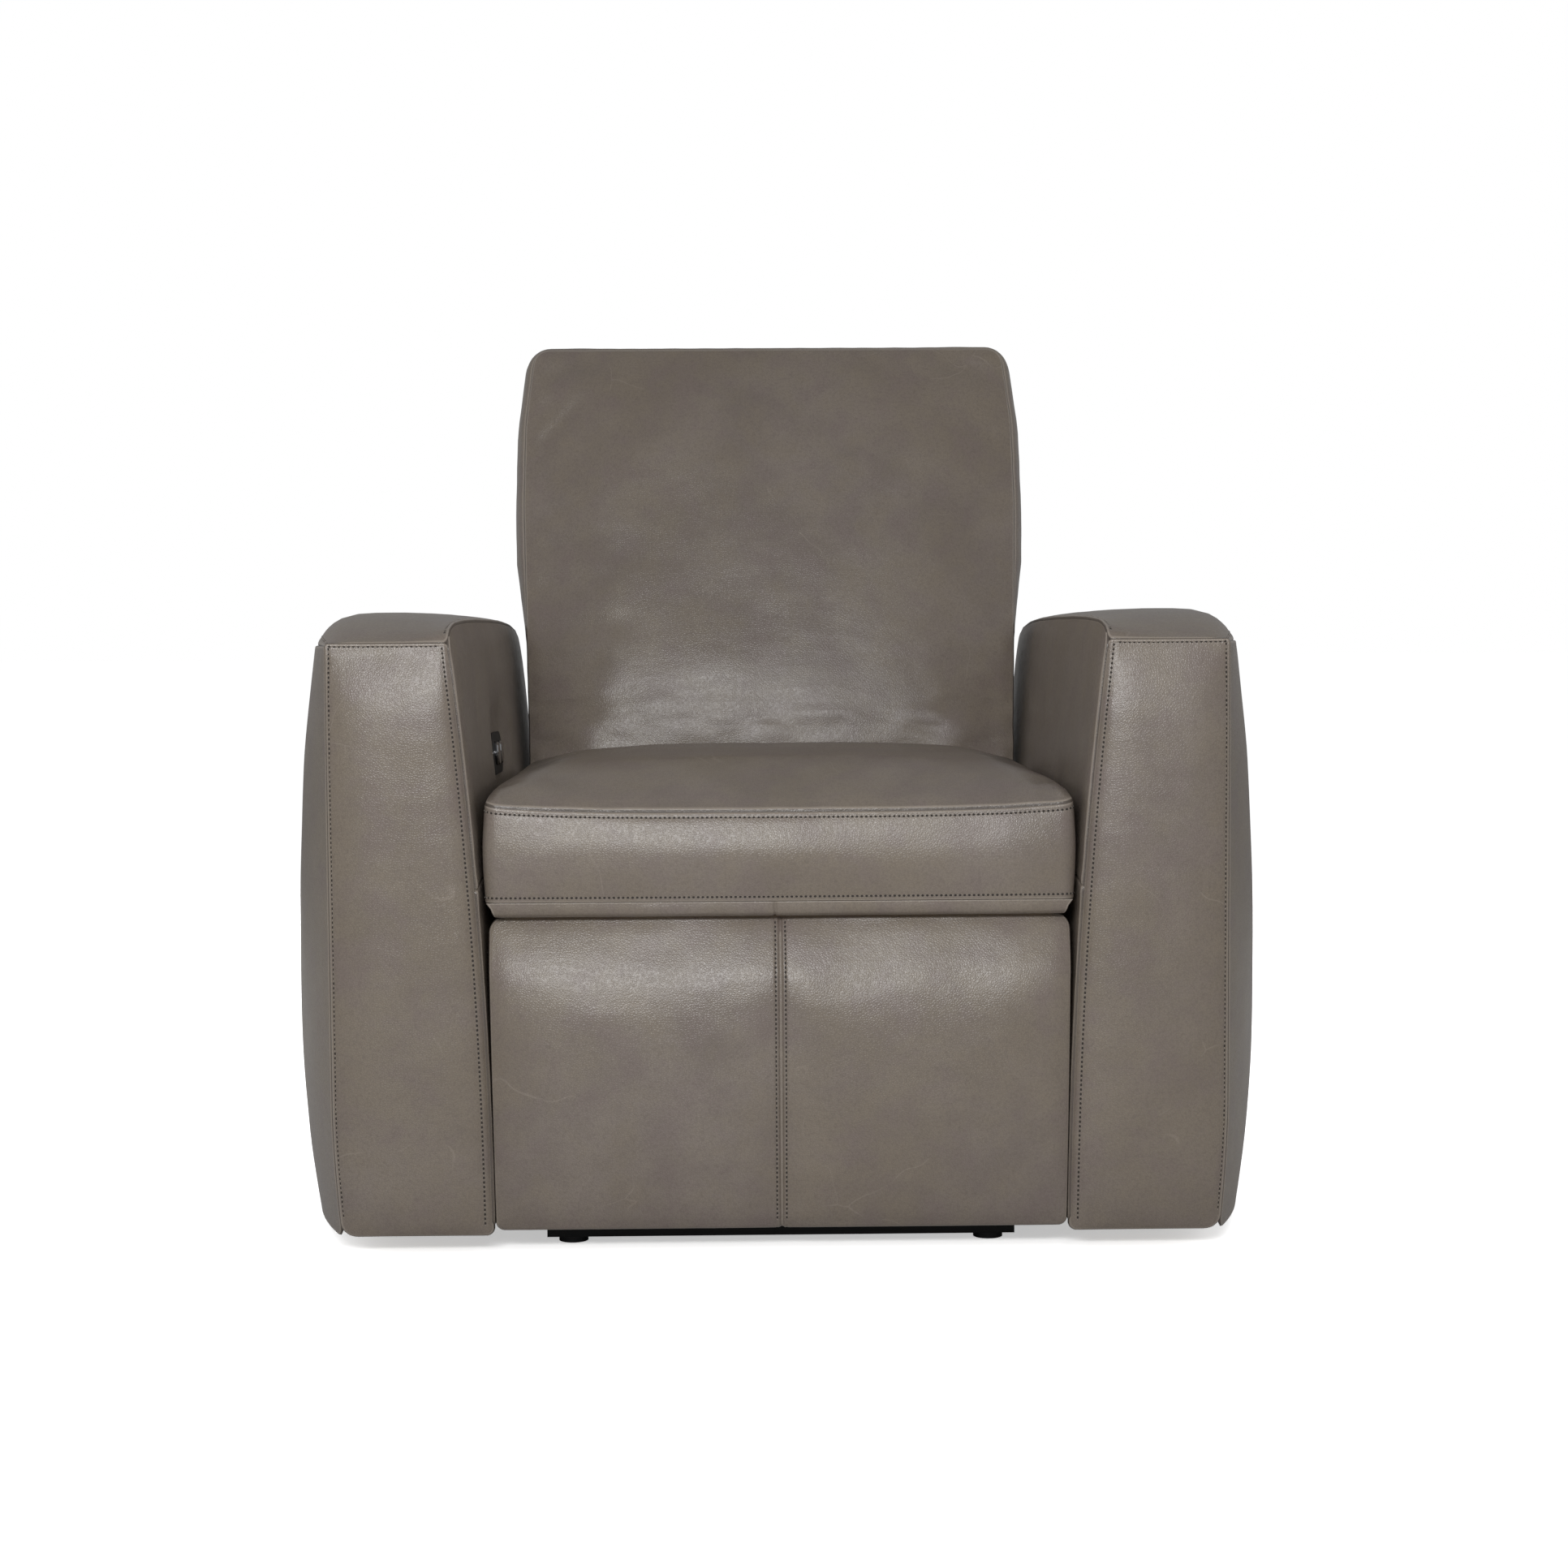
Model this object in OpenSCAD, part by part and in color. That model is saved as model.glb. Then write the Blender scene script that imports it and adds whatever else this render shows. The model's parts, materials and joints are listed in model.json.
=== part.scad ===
/* [Overall] */
// Depth from the front of the arms to the rear of the back
depth = 880; // [860:1:920]
// Clear width between the arms at the floor
well_w = 570; // [555:1:600]
// Clear height under the arms
arm_lift = 25; // [20:1:28]

/* [Base] */
// Diameter of a foot
foot_d = 30; // [24:1:30]
// Height of a foot
foot_h = 6; // [5:0.5:9]
// Side of the square base tube
tube = 30; // [26:1:32]
// Wall of the square base tube
tube_wall = 2; // [1.5:0.5:3]
// Distance from the front of the arms to the front tube
front_tube_set = 70; // [68:1:80]
// Distance from the front of the arms to the rear tube
rear_tube_set = 655; // [640:1:660]
// Distance between the feet, left to right
foot_span = 424; // [400:1:430]
// Thickness of the flat bars that carry the arms
bar_t = 4; // [3:0.5:6]
// Height of a slide track
track_h = 24; // [22:1:28]
// Wall of a slide track
track_wall = 3; // [2:0.5:4]
// Clearance of a runner in its track
runner_gap = 0.4; // [0.3:0.1:1]
// Thickness of the rear kick panel
kick_t = 18; // [12:1:20]
// Height of the rear kick panel
kick_h = 120; // [100:1:124]

/* [Arms] */
// Length of an arm, front to rear
arm_l = 775; // [760:1:790]
// Height of the arm's front top seam
arm_seam_z = 611; // [600:1:620]
// Crown of the arm top above its front seam
arm_crown = 28; // [15:1:35]
// Width of the arm's front panel at the seam
arm_seam_w = 123; // [115:1:135]
// Outward bulge of the arm's outer panel
arm_bulge = 67; // [40:1:70]
// Overhang of the arm top at mid depth
arm_overhang = 32; // [15:1:36]
// Thickness of the arm's front and rear pads
end_pad_t = 25; // [20:1:30]
// Thickness of the arm's plywood
arm_ply = 15; // [12:1:18]
// Lean of the arm's inner face, outward from floor to seam
arm_splay = 40; // [34:1:46]
// Thickness of the outer pad at its edge
outer_pad_t = 18; // [14:1:22]
// Thickness of the inner pad at the top
inner_pad_t = 20; // [18:1:24]

/* [Seat] */
// Width of the seat cushion
cushion_w = 584; // [560:1:590]
// Depth of the seat cushion
cushion_d = 507; // [480:1:508]
// Height of the seat crown above the floor
seat_h = 483; // [470:1:495]
// Height of the deck under the cushion
deck_h = 354; // [348:1:358]
// Height of the cushion's border, from the deck to its top seam
border_h = 92; // [80:1:100]
// Thickness of the seat frame's rails
rail_t = 22; // [18:1:24]
// Height of the seat frame's side rails
rail_h = 80; // [70:1:84]
// Thickness of the deck board under the front edge
deck_t = 12; // [9:1:14]
// Number of zigzag springs
spring_count = 5; // [3:1:6]
// Wire of a zigzag spring
spring_wire = 4; // [3:0.5:5]

/* [Back] */
// Lean of the back from upright
lean = 16; // [14:0.5:18]
// Distance from the front of the arms to the recline pivot
pivot_set = 625; // [620:1:630]
// Height of the recline pivot
pivot_z = 285; // [280:1:290]
// Greatest width of the back
back_w = 632; // [610:1:636]
// Height of the back's top edge above the pivot, along the back
back_top = 705; // [680:1:720]
// Height of the back cushion's lower edge above the pivot, along the back
back_low = 37; // [32:1:50]
// Thickness of the back, front crown to rear cover
back_t = 190; // [180:1:196]
// Distance from the pivot to the rear face of the back
back_rear = 68; // [62:1:70]
// Thickness of the rear cover
rear_cover_t = 26; // [18:1:28]
// Reach of the rear cover below the pivot
cover_drop = 100; // [80:1:105]
// Width of an upright of the back's frame
upright_w = 24; // [20:1:26]
// Depth of the back's frame, front to rear
upright_t = 50; // [40:1:52]

/* [Footrest] */
// Height of the footrest pad's top edge
foot_top = 338; // [334:1:339]
// Height of the footrest pad's lower edge
foot_low = 29; // [28:1:40]
// Thickness of the footrest pad
foot_pad_t = 38; // [30:1:40]
// Thickness of the footrest board
foot_board_t = 15; // [12:1:15]
// Side clearance of the footrest at the floor
foot_gap = 3; // [2:0.5:8]

/* [Linkage] */
// Thickness of the mechanism plates and links
link_t = 4; // [3:0.5:4]
// Width of a link bar
link_w = 22; // [18:1:24]
// Running gap between layers of links
link_gap = 0.4; // [0.3:0.1:0.5]
// Diameter of the link pins
pin_d = 10; // [8:1:12]
// Diameter of the recline pivot pins
pivot_d = 12; // [10:1:14]
// Radial running clearance of a pin in its hole
pin_gap = 0.05; // [0.02:0.01:0.1]
// Outer diameter of the drive tube
drive_d = 22; // [18:1:24]
// Distance from the front of the arms to the drive tube
drive_set = 155; // [152:1:158]
// Height of the drive tube
drive_z = 258; // [254:1:262]
// Radius of the drive lever
lever_r = 95; // [90:1:97]

/* [Controls] */
// Length of the switch plate
switch_l = 115; // [100:1:130]
// Width of the switch plate
switch_w = 46; // [40:1:50]
// Diameter of a button
button_d = 26; // [20:1:28]
// Distance between the buttons
button_pitch = 35; // [32:1:44]
// Travel of a button
button_travel = 2.5; // [1.5:0.5:3]
// Height of the switch plate's centre above the floor
switch_z = 486; // [470:1:500]
// Distance from the front of the arms to the switch plate's centre
switch_set = 362; // [330:1:400]

/* [Hidden] */

// Clearances, overrun and smoothness that the whole object shares
rest_gap = 0.3;
cut = 1;
tiny = 0.01;
$fn = 48;
corner_power = 8;

// Colours
hide = [0.47, 0.43, 0.40];
black_steel = [0.10, 0.10, 0.11];
zinc = [0.62, 0.64, 0.66];
plywood = [0.76, 0.62, 0.44];
black_plastic = [0.07, 0.07, 0.08];
chromed = [0.82, 0.83, 0.85];
webbing = [0.20, 0.19, 0.18];

// Places that everything hangs on
front_y = -depth / 2;
well = well_w / 2;
arm_rear_y = front_y + arm_l;
tube_top = foot_h + tube;
bar_top = tube_top + bar_t;
front_tube_y = front_y + front_tube_set;
rear_tube_y = front_y + rear_tube_set;
rear_tube_end = rear_tube_y + tube;
pivot = [front_y + pivot_set, pivot_z];

// Inner face of an arm: its distance from the middle at a height
face_low = arm_lift + foot_h;
splay_shares = [0.54, 0.46];
function face_x(z) = let(t = (z - face_low) / (arm_seam_z - face_low))
    well + arm_splay * (splay_shares[0] * t + splay_shares[1] * t * t);

// Arm frame, a box of plywood with a slanted inner wall
frame_low = bar_top;
frame_top = arm_seam_z - inner_pad_t;
seam_x = face_x(arm_seam_z) + arm_seam_w;
frame_out = seam_x - outer_pad_t;
frame_front = front_y + end_pad_t;
frame_rear = arm_rear_y - end_pad_t;
function frame_x(z) = let(low = face_x(frame_low) + inner_pad_t, top = face_x(frame_top) + inner_pad_t)
    low + (top - low) * (z - frame_low) / (frame_top - frame_low);
end_crown = 8;
end_draw = 5;
pad_floor_gap = 2;
inner_pad_low = frame_low + pad_floor_gap;
block_h = 20;
bolt_short = 4;

// Seat frame and the plates that carry it
rail_side_gap = 11;
rail_out = well - rail_side_gap;
rail_in = rail_out - rail_t;
rail_top = deck_h - deck_t;
rail_low = rail_top - rail_h;
rail_sets = [68, 490];
rail_front_y = front_y + rail_sets[0];
rail_rear_y = front_y + rail_sets[1];
cross_rail_h = 42;
plate_out = rail_in;
plate_in = plate_out - link_t;
plate_top = rail_top - cross_rail_h;
plate_set = 62;
plate_front = front_y + plate_set;

// Slide tracks and runners
track_w = 20;
track_x = plate_in + link_t / 2;
track_set = 64;
track_front = front_y + track_set;
runner_drop = 4;
runner_sets = [140, 570];
runner_low = bar_top + track_wall + runner_gap;
runner_top = bar_top + track_h - runner_drop;
runner_front = front_y + runner_sets[0];
runner_rear = front_y + runner_sets[1];

// Recline link: lower hole of the back bracket and fixed pin on the track
bracket_reach = 90;
bracket_foot = pivot - bracket_reach * [sin(lean), cos(lean)];
anchor_set = [506, 92];
anchor = [front_y, 0] + anchor_set;
plate_clear = 1;
bracket_in = plate_out + plate_clear;
bracket_out = bracket_in + link_t;
anchor_in = track_x + track_w / 2;
recline_in = anchor_in + link_t + link_gap;
recline_out = recline_in + link_t;

// Pivots of the footrest linkage in the side view, footrest closed
drive_pivot = [front_y + drive_set, drive_z];
front_pin_set = [305, 203];
hanger_set = [71, 274];
foot_pin_set = [82, 168];
lift_pin_set = [82, 238];
front_pin = [front_y, 0] + front_pin_set;
hanger_pivot = [front_y, 0] + hanger_set;
foot_pin = [front_y, 0] + foot_pin_set;
lift_pin = [front_y, 0] + lift_pin_set;
cross_reach = 95;
hanger_reach = 125;
cross_pin = front_pin + cross_reach * (foot_pin - front_pin) / norm(foot_pin - front_pin);
guide_pin = hanger_pivot + hanger_reach * (cross_pin - hanger_pivot) / norm(cross_pin - hanger_pivot);
function layer_out(n) = plate_in - link_gap - (n - 1) * (link_t + link_gap);
function layer_in(n) = layer_out(n) - link_t;
hole_d = pin_d + 2 * pin_gap;

// Drive under the seat
tube_set = [340, 500];
tube_low = 150;
rail_base = tube_low + tube;
drive_rail_w = 40;
drive_rail_h = 15;
drive_rail_sets = [205, 470];
drive_rail_front = front_y + drive_rail_sets[0];
drive_rail_rear = front_y + drive_rail_sets[1];
screw_d = 12;
screw_rise = 13;
screw_z = rail_base + drive_rail_h + screw_rise;
block_w = 48;
block_l = 50;
block_set = 420;
block_y = front_y + block_set;
block_half_h = screw_z - rail_base - drive_rail_h - rest_gap;
lever_angle = -5;
lever_pin = drive_pivot + lever_r * [cos(lever_angle), sin(lever_angle)];
drive_link_in = block_w / 2 + plate_clear;
lever_in = drive_link_in + link_t + plate_clear;
gearbox_w = 64;
gearbox_l = 56;
gearbox_h = 65;
motor_d = 42;
motor_l = 108;

// Seat cushion
seam_z = deck_h + border_h;
cushion_set = 3;
cushion_front = front_y + cushion_set;
cushion_mid_y = cushion_front + cushion_d / 2;
border_draw = 4;

// Back, in its own leaning frame: y to the rear, z up along the back
back_front = back_rear - back_t;
frame_rear_v = back_rear - rear_cover_t;
frame_front_v = frame_rear_v - upright_t;
upright_out = bracket_in;
back_frame_low = 45;
back_frame_drop = 43;
back_frame_top = back_top - back_frame_drop;
back_rail_h = 45;
strap_t = 2;
strap_w = 50;
back_crown = 30;
back_draw = 10;
back_pad_short = 4;
back_pad_rear = frame_rear_v - back_pad_short;
bracket_w = 38;
bracket_front = 11.5;
bracket_top = 200;
stub_step = 4;
back_share = 0.03;
back_width_shares = [[-1, 0.918], [-0.63, 0.918], [-0.5, 0.956], [-0.03, 0.987], [0.34, 1],
    [0.65, 1], [0.8, 0.987], [1, 0.968]];

// Footrest
foot_set = 4;
foot_front = front_y + foot_set;
foot_back = foot_front + foot_pad_t;
board_back = foot_back + rest_gap + foot_board_t;
foot_low_x = well - foot_gap;
foot_flare = 5;
foot_top_x = foot_low_x + foot_flare;
flange_w = 30;
flange_t = 3;

// Controls
switch_y = front_y + switch_set;
switch_x = face_x(switch_z);
switch_tilt = atan((face_x(switch_z + cut) - face_x(switch_z)) / cut);
switch_t = 3;
housing_h = 30;
housing_w = 34;
housing_short = 20;
housing_l = switch_l - housing_short;
button_gap = 0.3;
button_rise = 3;
button_dome = 1.5;

// Rows of shapes made once on the right and mirrored to the left
module on_side(side) {
    if (side > 0) children();
    else mirror([1, 0, 0]) children();
}
module both_sides() {
    children();
    mirror([1, 0, 0]) children();
}

// A side-view outline carried along X, and a front-view outline carried along Y
module along_x(x0, x1) {
    translate([x0, 0, 0]) rotate([90, 0, 90]) linear_extrude(x1 - x0) children();
}
module along_y(y0, y1) {
    translate([0, y1, 0]) rotate([90, 0, 0]) linear_extrude(y1 - y0) children();
}
module box(low, high) {
    translate(low) cube(high - low);
}
module rod_x(x0, x1, p, d) {
    along_x(x0, x1) translate(p) circle(d = d);
}

// A flat bar with round ends between two points of the side view
module bar_2d(a, b, w) {
    side = [-(b - a).y, (b - a).x] / norm(b - a) * w / 2;
    translate(a) circle(d = w);
    translate(b) circle(d = w);
    polygon([a + side, b + side, b - side, a - side]);
}
// A square-ended length of wire, half its thickness longer than its two points
module wire_2d(a, b, w) {
    along = (b - a) / norm(b - a) * w / 2;
    side = [-along.y, along.x];
    polygon([a - along + side, b + along + side, b + along - side, a - along - side]);
}
module link_bar(x0, x1, a, b, holes) {
    along_x(x0, x1) difference() {
        bar_2d(a, b, link_w);
        for (p = holes) translate(p) circle(d = hole_d);
    }
}

// A closed pad: a crowned front laid out on a grid, side rings and a flat back.
// front(s, t) and ring(s, t, q) give points for s, t from -1 to 1 and q from 0 to 1
module pad(cols, rows, rings, front, ring) {
    rim = concat([for (i = [0 : cols - 1]) [i, 0]], [for (j = [0 : rows - 1]) [cols, j]],
        [for (i = [cols : -1 : 1]) [i, rows]], [for (j = [rows : -1 : 1]) [0, j]]);
    loop = len(rim);
    grid_points = [for (j = [0 : rows]) for (i = [0 : cols]) front(2 * i / cols - 1, 2 * j / rows - 1)];
    ring_points = [for (k = [1 : rings]) for (r = rim)
        ring(2 * r.x / cols - 1, 2 * r.y / rows - 1, k / rings)];
    count = len(grid_points);
    corner_points = [for (s = [-1, 1], t = [-1, 1]) ring(s, t, 1)];
    middle = [1, 1, 1, 1] * corner_points / len(corner_points);
    all_points = concat(grid_points, ring_points, [middle]);
    function at(k, n) = k == 0 ? rim[n % loop].y * (cols + 1) + rim[n % loop].x
        : count + (k - 1) * loop + n % loop;
    grid_faces = [for (j = [0 : rows - 1]) for (i = [0 : cols - 1])
        let(a = j * (cols + 1) + i, b = a + cols + 1) each [[a, b, b + 1], [a, b + 1, a + 1]]];
    ring_faces = [for (k = [0 : rings - 1]) for (n = [0 : loop - 1])
        each [[at(k, n), at(k, n + 1), at(k + 1, n + 1)], [at(k, n), at(k + 1, n + 1), at(k + 1, n)]]];
    back_faces = [for (n = [0 : loop - 1]) [at(rings, n), at(rings, n + 1), len(all_points) - 1]];
    polyhedron(all_points, concat(grid_faces, ring_faces, back_faces));
}
function drawn(s, t, share) = s * (1 - share * pow(abs(t), corner_power));
function dome(s, power) = 1 - pow(abs(s), power);

// Square tube along X, centred on the middle
module cross_tube(half, y, z) {
    difference() {
        box([-half, y, z], [half, y + tube, z + tube]);
        box([-half - cut, y + tube_wall, z + tube_wall],
            [half + cut, y + tube - tube_wall, z + tube - tube_wall]);
    }
}

tube_reach = 26;
side_tube_reach = 13;
module base_front_tube() {
    color(black_steel) cross_tube(foot_span / 2 + tube_reach, front_tube_y, foot_h);
}
module base_rear_tube() {
    color(black_steel) cross_tube(foot_span / 2 + tube_reach, rear_tube_y, foot_h);
}
module base_side_tubes() {
    mid = foot_span / 2 + side_tube_reach;
    color(black_steel) both_sides() difference() {
        box([mid - tube / 2, front_tube_y + tube, foot_h], [mid + tube / 2, rear_tube_y, tube_top]);
        box([mid - tube / 2 + tube_wall, front_tube_y + tube - cut, foot_h + tube_wall],
            [mid + tube / 2 - tube_wall, rear_tube_y + cut, tube_top - tube_wall]);
    }
}

// Bolts that hold the arms to the bars
bolt_d = 8;
bolt_head = 13;
bolt_head_h = 5;
bolt_insets = [30, 25];
bolt_x = [frame_x(frame_low) + bolt_insets[0], frame_out - bolt_insets[1]];
bolt_y = [front_tube_y + tube / 2, rear_tube_y + tube / 2];
bar_short = 5;
module bolt_holes(low, high) {
    for (x = bolt_x, y = bolt_y) translate([x, y, low - cut])
        cylinder(d = bolt_d + 2 * rest_gap, h = high - low + 2 * cut);
}
module arm_bars() {
    color(black_steel) difference() {
        for (y = [front_tube_y, rear_tube_y])
            box([bar_short - frame_out, y, tube_top], [frame_out - bar_short, y + tube, bar_top]);
        both_sides() bolt_holes(tube_top, bar_top);
    }
}
module arm_bolts() {
    color(zinc) both_sides() for (x = bolt_x, y = bolt_y) translate([x, y, 0]) {
        translate([0, 0, tube_top - bolt_head_h]) cylinder(d = bolt_head, h = bolt_head_h, $fn = 6);
        translate([0, 0, tube_top]) cylinder(d = bolt_d, h = bar_t + block_h - bolt_short);
    }
}
module feet() {
    color(black_plastic) both_sides() for (y = bolt_y)
        translate([foot_span / 2, y, 0]) cylinder(d = foot_d, h = foot_h);
}

module track(side) {
    color(zinc) on_side(side) difference() {
        box([track_x - track_w / 2, track_front, bar_top],
            [track_x + track_w / 2, rear_tube_end, bar_top + track_h]);
        box([track_x - track_w / 2 + track_wall, track_front - cut, bar_top + track_wall],
            [track_x + track_w / 2 - track_wall, rear_tube_end + cut, bar_top + track_h + cut]);
    }
}
module track_left() { track(-1); }
module track_right() { track(1); }

kick_set = 55;
kick_rise = 5;
kick_side_gap = 2;
kick_bracket_share = 0.7;
kick_low = bar_top + kick_rise;
kick_y = rear_tube_end + kick_set;
kick_bracket_x = 120;
kick_bracket_w = 30;
kick_bracket_t = 3;
module kick_panel() {
    color(hide) box([kick_side_gap - well, kick_y, kick_low],
        [well - kick_side_gap, kick_y + kick_t, kick_low + kick_h]);
}
module kick_brackets() {
    color(zinc) both_sides() {
        box([kick_bracket_x, rear_tube_y, bar_top],
            [kick_bracket_x + kick_bracket_w, kick_y, bar_top + kick_bracket_t]);
        box([kick_bracket_x, kick_y - kick_bracket_t, bar_top],
            [kick_bracket_x + kick_bracket_w, kick_y, kick_low + kick_h * kick_bracket_share]);
    }
}

control_w = 120;
control_l = 45;
control_h = 50;
control_rise = 4;
control_low = foot_h + control_rise;
inlet_d = 11;
inlet_rise = 14;
inlet_z = control_low + inlet_rise;
module control_box() {
    face = rear_tube_end + control_l;
    color(black_plastic) {
        difference() {
            union() {
                box([-control_w / 2, rear_tube_end, control_low],
                    [control_w / 2, face, control_low + control_h]);
                translate([0, face + inlet_d / 2, inlet_z]) rotate([90, 0, 0])
                    cylinder(d = inlet_d, h = inlet_d / 2 + cut);
            }
            translate([0, face + inlet_d, inlet_z]) rotate([90, 0, 0])
                cylinder(d = inlet_d / 2, h = inlet_d * 1.5);
        }
        translate([0, face + inlet_d / 4, inlet_z]) rotate([90, 0, 0])
            cylinder(d = inlet_d / 5, h = inlet_d);
    }
}

module recline_brackets() {
    color(zinc) both_sides() {
        along_x(anchor_in, anchor_in + link_t) {
            bar_2d([anchor.x, bar_top + link_w], anchor, link_w + stub_step);
            translate([anchor.x - link_w, bar_top]) square([2 * link_w, track_h]);
        }
        rod_x(anchor_in, recline_out, anchor, pin_d);
    }
}

module frame_outline(inset) {
    polygon([[frame_x(frame_low) + inset, frame_low - (inset > 0 ? cut : 0)],
        [frame_out - inset, frame_low - (inset > 0 ? cut : 0)],
        [frame_out - inset, frame_top - inset], [frame_x(frame_top) + inset, frame_top - inset]]);
}
module arm_frame(side) {
    color(plywood) difference() {
        on_side(side) difference() {
            union() {
                difference() {
                    along_y(frame_front, frame_rear) frame_outline(0);
                    along_y(frame_front + arm_ply, frame_rear - arm_ply) frame_outline(arm_ply);
                }
                for (y = bolt_y) along_y(y - tube, y + tube) intersection() {
                    frame_outline(0);
                    translate([0, frame_low]) square([frame_out, block_h]);
                }
            }
            bolt_holes(frame_low, frame_low + block_h);
        }
        if (side < 0) at_switch() switch_pocket();
    }
}
module arm_frame_left() { arm_frame(-1); }
module arm_frame_right() { arm_frame(1); }

// Outer panel: a pillow whose rim lies in the seam
module arm_outer_pad(side) {
    mid_y = (frame_front + frame_rear) / 2;
    half_y = (frame_rear - frame_front) / 2 - rest_gap;
    mid_z = (arm_lift + frame_top) / 2;
    half_z = (frame_top - arm_lift) / 2;
    share = end_draw / half_z;
    color(hide) on_side(side) pad(14, 12, 1,
        function(s, t) [seam_x + arm_bulge * dome(s, 3) * dome(t, 5), mid_y + half_y * drawn(s, t, share),
            mid_z + half_z * drawn(t, s, share)],
        function(s, t, q) [seam_x - (outer_pad_t - rest_gap) * q, mid_y + half_y * drawn(s, t, share),
            mid_z + half_z * drawn(t, s, share)]);
}
module arm_outer_pad_left() { arm_outer_pad(-1); }
module arm_outer_pad_right() { arm_outer_pad(1); }

// Inner panel: nearly flat, following the lean of the face
module arm_inner_pad(side) {
    mid_y = (frame_front + frame_rear) / 2;
    half_y = (frame_rear - frame_front) / 2 - rest_gap;
    mid_z = (inner_pad_low + frame_top) / 2;
    half_z = (frame_top - inner_pad_low) / 2;
    color(hide) difference() {
        on_side(side) pad(8, 8, 1,
            function(s, t) [face_x(mid_z + half_z * s), mid_y + half_y * t, mid_z + half_z * s],
            function(s, t, q) [frame_x(mid_z + half_z * s) - rest_gap, mid_y + half_y * t,
                mid_z + half_z * s]);
        if (side < 0) at_switch() switch_pocket();
    }
}
module arm_inner_pad_left() { arm_inner_pad(-1); }
module arm_inner_pad_right() { arm_inner_pad(1); }

// Top pad: domed, overhanging the outer panel at mid depth
module arm_top_pad(side) {
    mid_y = (frame_front + frame_rear) / 2;
    half_y = (frame_rear - frame_front) / 2 - rest_gap;
    in_x = face_x(arm_seam_z);
    fall_share = 0.3;
    tuck_share = 0.3;
    function out_x(t) = seam_x + arm_overhang * dome(t, 3);
    function edge_x(s, t) = (in_x + out_x(t)) / 2 + s * (out_x(t) - in_x) / 2;
    color(hide) on_side(side) pad(14, 14, 2,
        function(s, t) [edge_x(s, t), mid_y + half_y * t,
            arm_seam_z + arm_crown * dome(t, 3) * (s > 0 ? dome(s, 3) : 1 - fall_share * s * s)],
        function(s, t, q) [edge_x(s, t) - (s > 0 ? arm_overhang * tuck_share * dome(t, 3) * q * s : 0),
            mid_y + half_y * t, arm_seam_z
                + (s < 0 && abs(t) < 1 ? arm_crown * dome(t, 3) * (1 - fall_share * s * s) * (1 - q) : 0)
                - (inner_pad_t - rest_gap) * q]);
}
module arm_top_pad_left() { arm_top_pad(-1); }
module arm_top_pad_right() { arm_top_pad(1); }

// Front and rear pads span the arm's width between the two seams
function end_mid(z) = (face_x(z) + seam_x - end_draw * (arm_seam_z - z) / arm_seam_z) / 2;
function end_half(z) = (seam_x - end_draw * (arm_seam_z - z) / arm_seam_z - face_x(z)) / 2;
module arm_end_pad(face, back, crown) {
    mid_z = (arm_lift + arm_seam_z) / 2;
    half_z = (arm_seam_z - arm_lift) / 2;
    turn = face < back ? 1 : -1;
    color(hide) pad(8, 12, 1,
        function(s, t) let(z = mid_z + half_z * drawn(t, s, end_draw / half_z))
            [end_mid(z) + turn * end_half(z) * drawn(s, t, end_draw / arm_seam_w),
                face + turn * crown * (1 - dome(s, 4) * dome(t, 8)), z],
        function(s, t, q) let(z = mid_z + half_z * drawn(t, s, end_draw / half_z))
            [end_mid(z) + turn * end_half(z) * drawn(s, t, end_draw / arm_seam_w),
                face + turn * crown + (back - face - turn * crown) * q, z]);
}
module arm_front_pad(side) {
    on_side(side) arm_end_pad(front_y, frame_front - rest_gap, end_crown);
}
module arm_front_pad_left() { arm_front_pad(-1); }
module arm_front_pad_right() { arm_front_pad(1); }
module arm_rear_panel(side) {
    on_side(side) arm_end_pad(arm_rear_y, frame_rear + rest_gap, end_crown / 2);
}
module arm_rear_panel_left() { arm_rear_panel(-1); }
module arm_rear_panel_right() { arm_rear_panel(1); }

// Switch on the inner face of the left arm; its own z points out of the face
module at_switch() {
    translate([-switch_x, switch_y, switch_z]) rotate([0, 90 - switch_tilt, 0]) children();
}
module button_row() {
    for (y = [-button_pitch / 2, button_pitch / 2]) translate([0, y, 0]) children();
}
module switch_pocket() {
    box([-housing_w / 2 - cut, -housing_l / 2 - cut, -housing_h - 3 * cut],
        [housing_w / 2 + cut, housing_l / 2 + cut, housing_h]);
}
module switch_plate() {
    reach = (switch_l - switch_w) / 2;
    color(black_plastic) at_switch() translate([0, 0, rest_gap]) difference() {
        linear_extrude(switch_t) {
            for (y = [-reach, reach]) translate([0, y]) circle(d = switch_w);
            square([switch_w, 2 * reach], center = true);
        }
        button_row() translate([0, 0, -cut])
            cylinder(d = button_d + 2 * button_gap, h = switch_t + 2 * cut);
    }
}
module switch_housing() {
    color(black_plastic) at_switch() difference() {
        box([-housing_w / 2, -housing_l / 2, -housing_h], [housing_w / 2, housing_l / 2, rest_gap]);
        button_row() translate([0, 0, -button_travel - housing_h / 3])
            cylinder(d = button_d + 2 * button_gap, h = housing_h);
    }
}
module button(y) {
    low = -housing_h / 3 + rest_gap;
    shoulder = switch_t + button_rise;
    color(chromed) at_switch() translate([0, y, 0]) rotate_extrude()
        polygon([[0, low], [button_d / 2, low], [button_d / 2, shoulder],
            [button_d / 2 - button_dome, shoulder + button_dome], [0, shoulder + button_dome]]);
}
module button_open() { button(-button_pitch / 2); }
module button_close() { button(button_pitch / 2); }

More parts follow.
